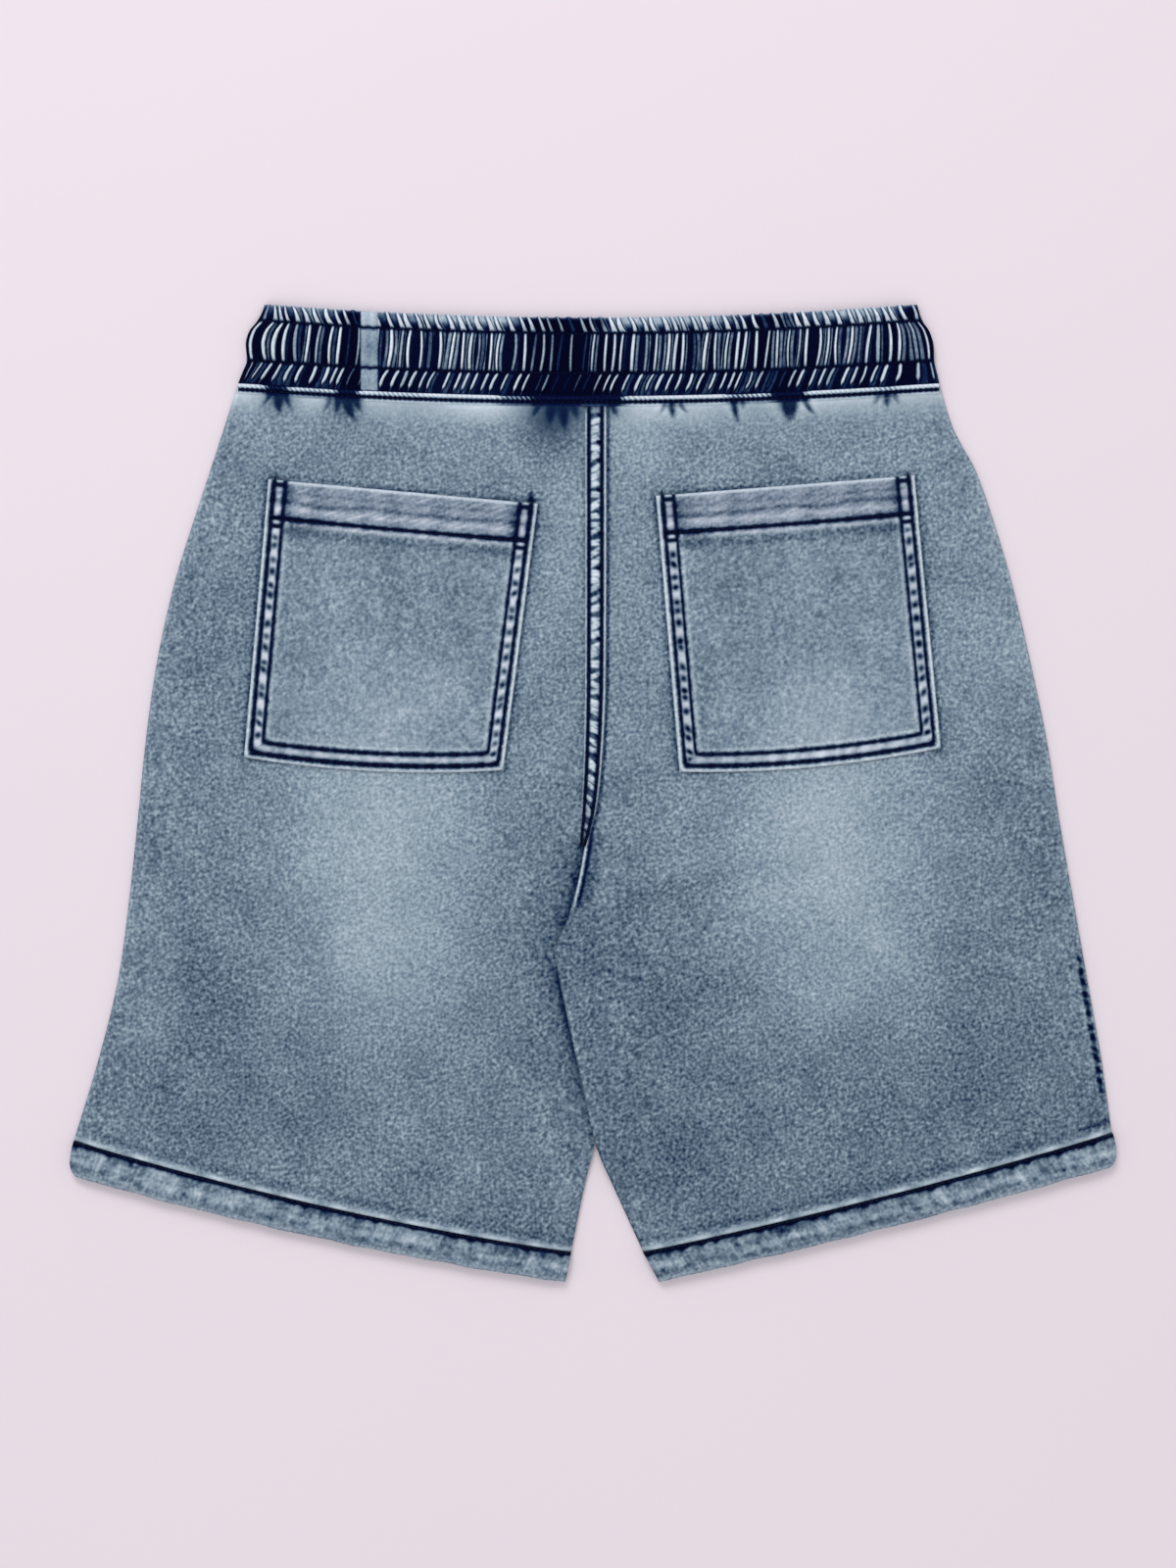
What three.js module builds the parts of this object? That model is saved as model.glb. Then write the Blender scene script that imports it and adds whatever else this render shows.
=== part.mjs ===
// Pull-on denim shorts, laid flat on their front with the back side up.
// Two front and two back panels lie on each other. The back carries two patch
// pockets and a felled centre seam, an elasticated waistband is gathered in
// three channels round the top, and each leg opening has a turned hem.
// The right leg lies over the left one where they meet below the crotch.
//
// Millimetres. +X is to the right of the garment's back as it lies, +Y runs
// towards the waist and +Z is up. The origin is under the middle of the garment.

import * as THREE from "three";

// Driving dimensions
const CLOTH = 1.2; // one layer of stretch denim
const SEAM_GAP = 0.3; // clearance between neighbouring pieces
const HALF_LENGTH = 258.8; // waist edge to lowest hem corner is twice this
const HALF_HEM_WIDTH = 277.2; // outer hem corner to the middle
const BILLOW = 2.2; // how far a back panel stands off the front one
const EDGE_ROUNDING = 7; // distance over which cloth rises from a folded edge

// Waistband
const BAND_SAG = 7; // the middle of the waist dips below its ends
const BAND_BASE = 3.0; // thickness of the band's front half
const GATHERS = 66; // gathers across the back of the band
const CREST_SHARE = 0.45; // a crest's foot, as a share of its gather's half-width
const PITCH_WAVES = [
  { share: 0.24, rate: 2.1, phase: 0 },
  { share: 0.16, rate: 5.3, phase: 1 },
]; // elastic leaves the gathers unevenly spaced
const BAND_END = { rounding: 6, edge: 0.12 }; // the band thins towards its folded ends
const SLANT_FADE = 16; // gathers stand upright this near to the ends

// Hems, pockets and the centre seam
const HEM_FOLD = 2.4; // a hem is cloth turned twice and pressed
const HEM_FRONT = 2.6;
const HEM_BILLOW = 1.0; // how far the back of a hem stands off its front
const HEM_ROUNDING = 0.85; // share of its thickness that a hem loses at its folded edge
const POCKET_HEM = 20; // depth of the pocket's turned top
const POCKET_HEM_RISE = 0.5; // the turned top stands this much higher
const POCKET_HEM_STEP = 1.5; // over which it steps down to the single cloth
const SEAM_THICKNESS = { edge: 0.7, crown: 0.5 };

// Where the right leg lies over the left one
const STACK = 2 * (CLOTH + SEAM_GAP); // height of the left leg's two layers
const OVERLAP_RAMP = 22; // sideways run of the rise onto the left leg
const OVERLAP_MARGIN = 9; // the rise and the pressing are complete this far off
const OVERLAP_TOP = { y: 22, ease: 30 }; // it starts here and is complete this much lower
const OVERLAP_END = { y: -225, ease: 34 };

const DENIM = { pale: 0xa9b8c3, mid: 0x8495a6, shade: 0x74879a, indigo: 0x1d2b4d };

// Outer edge, which is the side seam, from the waist seam to the hem
const SIDE_EDGE = [
  { y: 217, left: -188, right: 183.5 },
  { y: 192, left: -196, right: 191.4 },
  { y: 171, left: -202.8, right: 202.8 },
  { y: 140, left: -213, right: 213.6 },
  { y: 109, left: -222.4, right: 222.6 },
  { y: 67, left: -231.5, right: 232.4 },
  { y: 26, left: -237.2, right: 240.8 },
  { y: -16, left: -241.4, right: 247.4 },
  { y: -58, left: -246, right: 254.8 },
  { y: -99, left: -251.7, right: 262 },
  { y: -141, left: -262, right: 269.4 },
  { y: -184, left: -275, right: 275.4 },
];

// Inner edge: the centre seam, the crotch fold, then the inside leg
const INNER_EDGE = [
  { y: 210, left: 1.5, right: 1.5 },
  { y: 57, left: 1.3, right: 1.3 },
  { y: 15, left: 0, right: 0 },
  { y: -10, left: -2.2, right: -2.2 },
  { y: -31, left: -2.4, right: -5 },
  { y: -47, left: 3, right: -8 },
  { y: -63, left: 9, right: -12 },
  { y: -74, left: 15, right: -17 },
  { y: -82, left: 18, right: -20.4 },
  { y: -92, left: 17, right: -19.2 },
  { y: -115, left: 13, right: -14.6 },
  { y: -146, left: 7, right: -7.8 },
  { y: -185, left: 1, right: 1 },
  { y: -211, left: -5, right: 12 },
  { y: -243, left: -11.5, right: 26.5 },
];

// Felled seam down the middle of the back
const CENTRE_SEAM = [
  { y: 209.9, left: -4.2, right: 7.3 },
  { y: 57, left: -4.3, right: 6.8 },
  { y: 15, left: -5.1, right: 4.7 },
  { y: -10, left: -6.2, right: 1.6 },
  { y: -28, left: -6.8, right: -3.9 },
];

// Rows of the waistband, down from its top edge. slant moves a gather sideways,
// base is the bottom of the valleys above the table and wave the crests' height.
const BAND_ROWS = [
  { down: 0, left: -173.7, right: 171.7, slant: -3.2, base: 4.9, wave: 1.4 },
  { down: 4, left: -175.2, right: 172.8, slant: -1.6, base: 5.4, wave: 2.3 },
  { down: 8.5, left: -177.4, right: 174.2, slant: 0, base: 4.8, wave: 0.9 },
  { down: 13.5, left: -181.6, right: 177.8, slant: -0.3, base: 5.7, wave: 2.5 },
  { down: 19.5, left: -183.7, right: 180, slant: -0.8, base: 6.0, wave: 2.8 },
  { down: 25, left: -183.6, right: 180.6, slant: -1.2, base: 5.7, wave: 2.5 },
  { down: 29.5, left: -183, right: 180.6, slant: -1.6, base: 4.8, wave: 0.9 },
  { down: 35.5, left: -185.4, right: 182, slant: -3.6, base: 5.5, wave: 2.2 },
  { down: 41.5, left: -187.8, right: 183.4, slant: -5.4, base: 4.9, wave: 1.0 },
];

// Each leg opening: the hem's stitched line and its folded lower edge
const HEMS = {
  left: {
    stitched: { inner: [-11.5, -243], outer: [-275, -184], bow: -5 },
    folded: { inner: [-14.6, -HALF_LENGTH], outer: [-HALF_HEM_WIDTH, -202], bow: -4.7 },
  },
  right: {
    stitched: { inner: [26.5, -243], outer: [275.4, -180], bow: -2.8 },
    folded: { inner: [35, -258.4], outer: [HALF_HEM_WIDTH, -197], bow: -2 },
  },
};

// Patch pockets: corners of the finished pocket, and the bow of its lower edge
const POCKETS = {
  left: {
    top: { inner: [-29.1, 153.1], outer: [-171.6, 166.1] },
    low: { inner: [-47.3, 12.2], outer: [-184.6, 19], bow: -4 },
  },
  right: {
    top: { inner: [33.3, 157.3], outer: [170, 168.2] },
    low: { inner: [45.8, 11.3], outer: [184.1, 23.9], bow: -4 },
  },
};

// Broad soft folds of the back: centre, direction of the crest, half-length,
// half-width and height, which is negative for a trough
const FOLDS = [
  { x: 38, y: -46, angle: 24, length: 60, width: 9, height: 0.8 },
  { x: 64, y: -72, angle: 12, length: 55, width: 10, height: -0.6 },
  { x: -42, y: -96, angle: 62, length: 60, width: 12, height: 0.6 },
  { x: 30, y: -150, angle: 118, length: 60, width: 11, height: 0.7 },
  { x: -206, y: 176, angle: -48, length: 26, width: 5, height: 0.7 },
  { x: 96, y: 196, angle: 82, length: 24, width: 7, height: 0.6 },
  { x: -120, y: 194, angle: 95, length: 22, width: 8, height: 0.5 },
  { x: -150, y: -150, angle: 20, length: 80, width: 18, height: 0.6 },
  { x: 176, y: -128, angle: -14, length: 85, width: 20, height: 0.6 },
];

const clamp01 = (t) => Math.min(1, Math.max(0, t));
const smooth = (t) => clamp01(t) ** 2 * (3 - 2 * clamp01(t));
const mix = (a, b, t) => a + (b - a) * t;

// A smooth curve through one column of a table: cubic Hermite spans whose
// slopes are the average slopes of the neighbouring rows.
function curveThrough(rows, at, column) {
  const sorted = [...rows].sort((p, q) => p[at] - q[at]);
  const slope = (i, j) => (sorted[j][column] - sorted[i][column]) / (sorted[j][at] - sorted[i][at]);
  const last = sorted.length - 1;
  const tangent = (i) => (i === 0 ? slope(0, 1) : i === last ? slope(last - 1, last) : slope(i - 1, i + 1));
  return (value) => {
    let i = 0;
    while (i < last - 1 && value > sorted[i + 1][at]) i += 1;
    const span = sorted[i + 1][at] - sorted[i][at];
    const t = clamp01((value - sorted[i][at]) / span);
    const t2 = t * t;
    const t3 = t2 * t;
    return (
      (2 * t3 - 3 * t2 + 1) * sorted[i][column] +
      (t3 - 2 * t2 + t) * span * tangent(i) +
      (3 * t2 - 2 * t3) * sorted[i + 1][column] +
      (t3 - t2) * span * tangent(i + 1)
    );
  };
}

const bothSides = (rows) => ({
  left: curveThrough(rows, "y", "left"),
  right: curveThrough(rows, "y", "right"),
});
const sideEdge = bothSides(SIDE_EDGE);
const innerEdge = bothSides(INNER_EDGE);

// 1 along the stretch where one leg lies over the other, easing out at both ends.
const stackedAlong = (y) =>
  smooth((OVERLAP_TOP.y - y) / OVERLAP_TOP.ease) * smooth((y - OVERLAP_END.y) / OVERLAP_END.ease);

// How high the right leg is carried by the left one at a point.
function overlapLift(side, x, y) {
  if (side === "left") return 0;
  const reach = innerEdge.left(y) + OVERLAP_MARGIN + OVERLAP_RAMP;
  return STACK * smooth((reach - x) / OVERLAP_RAMP) * stackedAlong(y);
}

// 1 where the left leg is pressed flat under the right one.
function pressedFlat(side, x, y) {
  if (side === "right") return 0;
  const start = innerEdge.right(y) - OVERLAP_MARGIN - OVERLAP_RAMP;
  return smooth((x - start) / OVERLAP_RAMP) * stackedAlong(y);
}

// Height of the soft folds at a point: each is a cosine-like ridge that fades
// out across its width and towards its ends.
function foldHeight(x, y) {
  return FOLDS.reduce((sum, fold) => {
    const a = THREE.MathUtils.degToRad(fold.angle);
    const along = ((x - fold.x) * Math.cos(a) + (y - fold.y) * Math.sin(a)) / fold.length;
    const across = (-(x - fold.x) * Math.sin(a) + (y - fold.y) * Math.cos(a)) / fold.width;
    return sum + fold.height * Math.exp(-across * across) * smooth(1 - Math.abs(along));
  }, 0);
}

// Height up the garment of a row of the waistband, which sags in the middle.
function bandY({ down, left, right }, x) {
  const s = (x - left) / (right - left);
  return HALF_LENGTH - down - BAND_SAG * 4 * s * (1 - s);
}

// A point of a panel seen from above. u runs from the inner edge to the side
// seam, v from the waist seam to the hem's stitched line.
function panelPoint(side, u, v) {
  const hem = HEMS[side].stitched;
  const waist = { inner: INNER_EDGE[0][side], outer: SIDE_EDGE[0][side] };
  const seamRow = BAND_ROWS[BAND_ROWS.length - 1];
  const yAt = (share) => {
    const top = bandY(seamRow, mix(waist.inner, waist.outer, share)) - SEAM_GAP;
    const low = mix(hem.inner[1], hem.outer[1], share) + hem.bow * 4 * share * (1 - share) + SEAM_GAP;
    return mix(top, low, v);
  };
  const seamGap = (side === "left" ? -0.5 : 0.5) * SEAM_GAP;
  const xInner = innerEdge[side](yAt(0)) + seamGap;
  const xOuter = sideEdge[side](yAt(1));
  return [mix(xInner, xOuter, u), yAt(u)];
}

// Gap between the front and the back panel: nothing at the folded edges, where
// it opens round a soft shoulder, and nothing where the leg is pressed flat.
function billow(side, x, y) {
  const fromSide = Math.abs(sideEdge[side](y) - x);
  const fromInside = Math.abs(x - innerEdge[side](y));
  const insideIsFolded = smooth((-20 - y) / 60);
  const shoulder = (d) => 1 - Math.exp(-d / EDGE_ROUNDING);
  const inside = mix(1, shoulder(fromInside), insideIsFolded);
  const open = (BILLOW + foldHeight(x, y)) * shoulder(fromSide) * inside;
  return open * (1 - pressedFlat(side, x, y));
}

const frontUnder = (side, x, y) => overlapLift(side, x, y);
const backUnder = (side, x, y) => overlapLift(side, x, y) + CLOTH + SEAM_GAP + billow(side, x, y);
const backTop = (side, x, y) => backUnder(side, x, y) + CLOTH;

// The steps 0 to 1 that a grid is drawn at, closer together near both ends.
function steps(count, crowding) {
  return Array.from({ length: count + 1 }, (_, i) => {
    const t = i / count;
    return t - (crowding * Math.sin(2 * Math.PI * t)) / (2 * Math.PI);
  });
}

// A closed piece of cloth: an upper and a lower grid of points whose rims are
// joined all round. A grid is { us, vs, point }, and the two may differ in
// how finely they are drawn.
function clothPiece(name, colour, upper, lower) {
  const points = [];
  const faces = [];
  const gridOf = ({ us, vs, point }) =>
    vs.map((v) => us.map((u) => points.push(point(u, v)) - 1));
  const skin = (grid, facesUp) => {
    for (let j = 0; j + 1 < grid.length; j += 1) {
      for (let i = 0; i + 1 < grid[j].length; i += 1) {
        const [a, b, c, d] = [grid[j][i], grid[j][i + 1], grid[j + 1][i + 1], grid[j + 1][i]];
        if (facesUp) faces.push(a, b, c, a, c, d);
        else faces.push(a, c, b, a, d, c);
      }
    }
  };
  // Joins two rim lines that run the same way, each { ids, ts }.
  const rim = (top, low, flip) => {
    let i = 0;
    let j = 0;
    while (i + 1 < top.ids.length || j + 1 < low.ids.length) {
      const stepTop = j + 1 >= low.ids.length || (i + 1 < top.ids.length && top.ts[i + 1] <= low.ts[j + 1]);
      const third = stepTop ? top.ids[i + 1] : low.ids[j + 1];
      if (flip) faces.push(top.ids[i], low.ids[j], third);
      else faces.push(low.ids[j], top.ids[i], third);
      if (stepTop) i += 1;
      else j += 1;
    }
  };
  const high = gridOf(upper);
  const low = gridOf(lower);
  skin(high, true);
  skin(low, false);
  const edge = (grid, of) => [
    { ids: grid[0], ts: of.us },
    { ids: grid.map((row) => row[row.length - 1]), ts: of.vs },
    { ids: grid[grid.length - 1], ts: of.us },
    { ids: grid.map((row) => row[0]), ts: of.vs },
  ];
  const topEdges = edge(high, upper);
  const lowEdges = edge(low, lower);
  topEdges.forEach((line, k) => rim(line, lowEdges[k], k < 2));

  const corner = points.map(([x, y, z]) => new THREE.Vector3(x, y, z));
  let volume = 0;
  for (let f = 0; f < faces.length; f += 3) {
    const [a, b, c] = [corner[faces[f]], corner[faces[f + 1]], corner[faces[f + 2]]];
    volume += a.dot(new THREE.Vector3().crossVectors(b, c));
  }
  if (volume < 0) {
    for (let f = 0; f < faces.length; f += 3) [faces[f], faces[f + 1]] = [faces[f + 1], faces[f]];
  }
  const geometry = new THREE.BufferGeometry();
  geometry.setAttribute("position", new THREE.Float32BufferAttribute(points.flat(), 3));
  geometry.setIndex(faces);
  geometry.computeVertexNormals();
  const material = new THREE.MeshStandardMaterial({ color: colour, roughness: 0.92, metalness: 0 });
  const mesh = new THREE.Mesh(geometry, material);
  mesh.name = name;
  return mesh;
}

// One front or back panel between two height functions of the plan position.
function panel(name, colour, side, grid, under, over) {
  const at = (height) => (u, v) => {
    const [x, y] = panelPoint(side, u, v);
    return [x, y, height(side, x, y)];
  };
  return clothPiece(name, colour, { ...grid, point: at(over) }, { ...grid, point: at(under) });
}

function frontPanel(side) {
  const grid = { us: steps(16, 0.7), vs: BACK_GRID.vs };
  const frontTop = (s, x, y) => frontUnder(s, x, y) + CLOTH;
  return panel(`front_${side}`, DENIM.shade, side, grid, frontUnder, frontTop);
}

// Runs of even steps, each [from, to, count], as one rising list.
function runs(...parts) {
  const stepsOf = ([from, to, count]) =>
    Array.from({ length: count }, (_, i) => mix(from, to, (i + 1) / count));
  return [parts[0][0], ...parts.flatMap(stepsOf)];
}

// Rows of a back panel stand closer together beside the crotch.
const BACK_GRID = { us: steps(22, 0.55), vs: runs([0, 0.38, 8], [0.38, 0.56, 10], [0.56, 1, 10]) };

function backPanel(side) {
  return panel(`back_${side}`, DENIM.mid, side, BACK_GRID, backUnder, backTop);
}

// Height of a back panel's upper face as it is drawn, flat facets and all, so
// that whatever is sewn onto the panel follows its real surface.
function drawnTop(side) {
  const facets = [];
  const rows = BACK_GRID.vs.map((v) =>
    BACK_GRID.us.map((u) => {
      const [x, y] = panelPoint(side, u, v);
      return new THREE.Vector3(x, y, backTop(side, x, y));
    }),
  );
  for (let j = 0; j + 1 < rows.length; j += 1) {
    for (let i = 0; i + 1 < rows[j].length; i += 1) {
      const [a, b, c, d] = [rows[j][i], rows[j][i + 1], rows[j + 1][i + 1], rows[j + 1][i]];
      facets.push([a, b, c], [a, c, d]);
    }
  }
  return (x, y) => {
    for (const [a, b, c] of facets) {
      const area = (b.x - a.x) * (c.y - a.y) - (c.x - a.x) * (b.y - a.y);
      const p = ((b.x - x) * (c.y - y) - (c.x - x) * (b.y - y)) / area;
      const q = ((c.x - x) * (a.y - y) - (a.x - x) * (c.y - y)) / area;
      if (p >= 0 && q >= 0 && p + q <= 1) return p * a.z + q * b.z + (1 - p - q) * c.z;
    }
    return backTop(side, x, y);
  };
}

// Plan position on a hem: u from the inside leg to the side seam, w from the
// stitched line to the folded edge.
function hemPoint(side, u, w) {
  const line = ({ inner, outer, bow }) => [
    mix(inner[0], outer[0], u),
    mix(inner[1], outer[1], u) + bow * 4 * u * (1 - u),
  ];
  const [stitched, folded] = [line(HEMS[side].stitched), line(HEMS[side].folded)];
  return [mix(stitched[0], folded[0], w), mix(stitched[1], folded[1], w)];
}

function frontHem(side) {
  const grid = { us: steps(12, 0.3), vs: [0, 1] };
  const at = (z) => ({ ...grid, point: (u, w) => [...hemPoint(side, u, w), z] });
  return clothPiece(`hem_front_${side}`, DENIM.shade, at(HEM_FRONT), at(0));
}

// The back half of a hem stands off the front half like the panel above it,
// and its folded edge is rounded.
function backHem(side) {
  const width = Math.abs(HEMS[side].folded.outer[0] - HEMS[side].folded.inner[0]);
  const under = (u) => {
    const shoulder = (d) => 1 - Math.exp(-d / EDGE_ROUNDING);
    return HEM_FRONT + SEAM_GAP + HEM_BILLOW * shoulder(u * width) * shoulder((1 - u) * width);
  };
  const rounded = (w) => HEM_FOLD * Math.sqrt(1 - HEM_ROUNDING * Math.max(0, 2 * w - 1) ** 4);
  const grid = { us: steps(22, 0.4), vs: [0, 0.35, 0.7, 0.9, 1] };
  const lowGrid = { us: grid.us, vs: [0, 1] };
  return clothPiece(
    `hem_back_${side}`,
    DENIM.mid,
    { ...grid, point: (u, w) => [...hemPoint(side, u, w), under(u) + rounded(w)] },
    { ...lowGrid, point: (u, w) => [...hemPoint(side, u, w), under(u)] },
  );
}

// A patch pocket follows the panel under it. Its turned top is a little thicker.
function pocket(side) {
  const { top, low } = POCKETS[side];
  const plan = (u, v) => {
    const x = mix(mix(top.inner[0], top.outer[0], u), mix(low.inner[0], low.outer[0], u), v);
    const y = mix(mix(top.inner[1], top.outer[1], u), mix(low.inner[1], low.outer[1], u), v);
    return [x, y + low.bow * v * 4 * u * (1 - u)];
  };
  const length = top.inner[1] - low.inner[1];
  const hemShare = POCKET_HEM / length;
  const single = hemShare + POCKET_HEM_STEP / length;
  const below = drawnTop(side);
  const under = (x, y) => below(x, y) + SEAM_GAP;
  const thickness = (v) => CLOTH + (v <= hemShare ? POCKET_HEM_RISE : 0);
  const grid = { us: steps(12, 0.3), vs: [...runs([0, hemShare, 2]), ...runs([single, 1, 10])] };
  const at = (height) => (u, v) => {
    const [x, y] = plan(u, v);
    return [x, y, height(x, y, v)];
  };
  return clothPiece(
    `pocket_${side}`,
    DENIM.pale,
    { ...grid, point: at((x, y, v) => under(x, y) + thickness(v)) },
    { ...grid, point: at((x, y) => under(x, y)) },
  );
}

// The felled seam is a strip over the joint of the back panels. It climbs from
// the left panel onto the right one where the right leg rises.
function centreSeam() {
  const edges = bothSides(CENTRE_SEAM);
  const [top, end] = [CENTRE_SEAM[0].y, CENTRE_SEAM[CENTRE_SEAM.length - 1].y];
  const share = (y) => (top - y) / (top - end);
  const rows = BACK_GRID.vs.map((v) => panelPoint("right", 0, v)[1]).filter((y) => y < top && y > end);
  const halfway = rows.map((y, i) => mix(y, i + 1 < rows.length ? rows[i + 1] : end, 0.5));
  const vs = [top, ...rows, ...halfway, end].map(share).sort((a, b) => a - b);
  const grid = { us: [0, 0.25, 0.5, 0.75, 1], vs };
  const plan = (u, v) => {
    const y = mix(top, end, v);
    const joint = innerEdge.right(y);
    const x = u < 0.5 ? mix(edges.left(y), joint, 2 * u) : mix(joint, edges.right(y), 2 * u - 1);
    return [x, y];
  };
  const panels = { left: drawnTop("left"), right: drawnTop("right") };
  const under = (u, x, y) => {
    const onLeft = u <= 0.5 ? panels.left(x, y) : 0;
    const onRight = u >= 0.5 ? panels.right(x, y) : 0;
    return Math.max(onLeft, onRight) + SEAM_GAP;
  };
  const thickness = (u) => SEAM_THICKNESS.edge + SEAM_THICKNESS.crown * Math.sin(Math.PI * u);
  const at = (height) => (u, v) => {
    const [x, y] = plan(u, v);
    return [x, y, height(u, x, y)];
  };
  return clothPiece(
    "centre_back_seam",
    DENIM.pale,
    { ...grid, point: at((u, x, y) => under(u, x, y) + thickness(u)) },
    { ...grid, point: at(under) },
  );
}

// Share of the band's width at which each gather's crest stands.
function gatherCentres() {
  const pitch = (i) => PITCH_WAVES.reduce((sum, w) => sum + w.share * Math.sin(w.rate * i + w.phase), 1);
  const widths = Array.from({ length: GATHERS }, (_, i) => pitch(i));
  const total = widths.reduce((a, b) => a + b, 0);
  let run = 0;
  return widths.map((width) => {
    const centre = (run + width / 2) / total;
    run += width;
    return { centre, half: width / 2 / total };
  });
}

// Plan position on the waistband: s from its left to its right end, row by row.
function bandPoint(row, s) {
  const fromEnd = Math.min(s, 1 - s) * (row.right - row.left);
  const x = mix(row.left, row.right, s) + row.slant * smooth(fromEnd / SLANT_FADE);
  return [x, bandY(row, x)];
}

function bandShoulder(row, s) {
  const fromEnd = Math.min(s, 1 - s) * (row.right - row.left);
  return smooth(BAND_END.edge + ((1 - BAND_END.edge) * fromEnd) / BAND_END.rounding);
}

function waistbandBack() {
  // Each gather is a narrow crest between two flat valleys.
  const samples = [{ s: 0, crest: 0 }];
  gatherCentres().forEach(({ centre, half }) => {
    samples.push({ s: centre - half * CREST_SHARE, crest: 0 });
    samples.push({ s: centre, crest: 1 });
    samples.push({ s: centre + half * CREST_SHARE, crest: 0 });
  });
  samples.push({ s: 1, crest: 0 });
  const crestAt = new Map(samples.map(({ s, crest }) => [s, crest]));
  const us = samples.map(({ s }) => s);
  const rowAt = (v) => BAND_ROWS[Math.round(v * (BAND_ROWS.length - 1))];
  const under = BAND_BASE + SEAM_GAP;
  const over = (s, v) => {
    const row = rowAt(v);
    const height = row.base + row.wave * crestAt.get(s) - under;
    return [...bandPoint(row, s), under + height * bandShoulder(row, s)];
  };
  const vs = BAND_ROWS.map((_, i) => i / (BAND_ROWS.length - 1));
  const inside = { us: steps(24, 0.4), vs, point: (s, v) => [...bandPoint(rowAt(v), s), under] };
  return clothPiece("waistband_back", DENIM.indigo, { us, vs, point: over }, inside);
}

function waistbandFront() {
  const rowAt = (v) => BAND_ROWS[Math.round(v * (BAND_ROWS.length - 1))];
  const grid = { us: steps(24, 0.4), vs: BAND_ROWS.map((_, i) => i / (BAND_ROWS.length - 1)) };
  const at = (z) => ({ ...grid, point: (s, v) => [...bandPoint(rowAt(v), s), z] });
  return clothPiece("waistband_front", DENIM.indigo, at(BAND_BASE), at(0));
}

const shorts = new THREE.Group();
shorts.add(waistbandFront(), waistbandBack(), centreSeam());
for (const side of ["left", "right"]) {
  shorts.add(frontPanel(side), backPanel(side), frontHem(side), backHem(side), pocket(side));
}

export default shorts;
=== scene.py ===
"""Washed pull-on denim shorts, laid flat with the back up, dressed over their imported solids.

Each piece is a surface worked out on a grid of two parameters. Sizes are in
millimetres until a mesh is made. Every cloth surface carries a tone for each
point, from deep indigo at 0 to bare white cotton at 255, which its dye follows.
"""

import math
from functools import partial

import bpy
import numpy as np
from bpy.props import FloatProperty, FloatVectorProperty, PointerProperty
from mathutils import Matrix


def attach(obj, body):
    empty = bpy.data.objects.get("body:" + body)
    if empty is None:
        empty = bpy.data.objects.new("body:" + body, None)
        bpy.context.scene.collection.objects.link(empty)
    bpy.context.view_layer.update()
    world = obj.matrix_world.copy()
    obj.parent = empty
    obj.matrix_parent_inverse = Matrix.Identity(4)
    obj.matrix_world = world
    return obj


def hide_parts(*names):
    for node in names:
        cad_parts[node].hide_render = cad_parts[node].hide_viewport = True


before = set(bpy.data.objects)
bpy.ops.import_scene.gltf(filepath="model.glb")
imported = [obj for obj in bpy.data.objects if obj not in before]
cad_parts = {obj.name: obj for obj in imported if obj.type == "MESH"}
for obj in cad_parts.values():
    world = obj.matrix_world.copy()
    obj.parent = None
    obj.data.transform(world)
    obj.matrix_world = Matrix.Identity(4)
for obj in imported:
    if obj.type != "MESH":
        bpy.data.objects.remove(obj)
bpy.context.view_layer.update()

bl_info = {
    "name": "Denim Shorts",
    "version": (1, 0, 0),
    "blender": (4, 5, 0),
    "location": "View3D > Sidebar > Shorts",
    "description": "Makes washed pull-on denim shorts, laid flat with the back up",
    "category": "Add Mesh",
}

MM = 0.001
SIDES = ("left", "right")

# Sizes that the cloth pieces share with their solids
CLOTH = 1.2
SEAM_GAP = 0.3
HALF_LENGTH = 258.8
HALF_HEM_WIDTH = 277.2
BILLOW = 2.2
EDGE_ROUNDING = 7.0
BAND_SAG = 7.0
BAND_BASE = 3.0
GATHERS = 66
BAND_END = {"rounding": 6.0, "edge": 0.12}
SLANT_FADE = 13.0
END_REACH = 30.0  # how far in the bowed ends bend the gathers
LIP = 5.6  # the corded seam below the band
PANEL_LENGTH = 437.0
HEM_DEPTH = 17.0
HEM_WIDTH = 265.0
HEM_FOLD = 2.4
HEM_FRONT = 2.6
HEM_BILLOW = 1.0
POCKET_HEM = 20.0
STACK = 2 * (CLOTH + SEAM_GAP)
OVERLAP_RAMP = 22.0
OVERLAP_MARGIN = 9.0
OVERLAP_TOP = 22.0
OVERLAP_FOOT = -225.0
CROTCH = -14.0  # below this the legs part, and one lies over the other

# Steps of the grids, across each piece and down it
FRONT_STEPS = (72, 108)
BACK_STEPS = (256, (32, 212, 20))  # down it: at the waist seam, between, and at the hem
POCKET_STEPS = (200, 208)
SEAM_STEPS = (24, 472)
BACK_HEM_STEPS = (460, 32)
FRONT_HEM_STEPS = (240, 16)
FRONT_BAND_STEPS = (600, 32)
BACK_BAND_STEPS = 1056
BAND_ROW_STEPS = 1600
CHANCES = 256  # how many swells a channel has before its draw repeats

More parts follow.
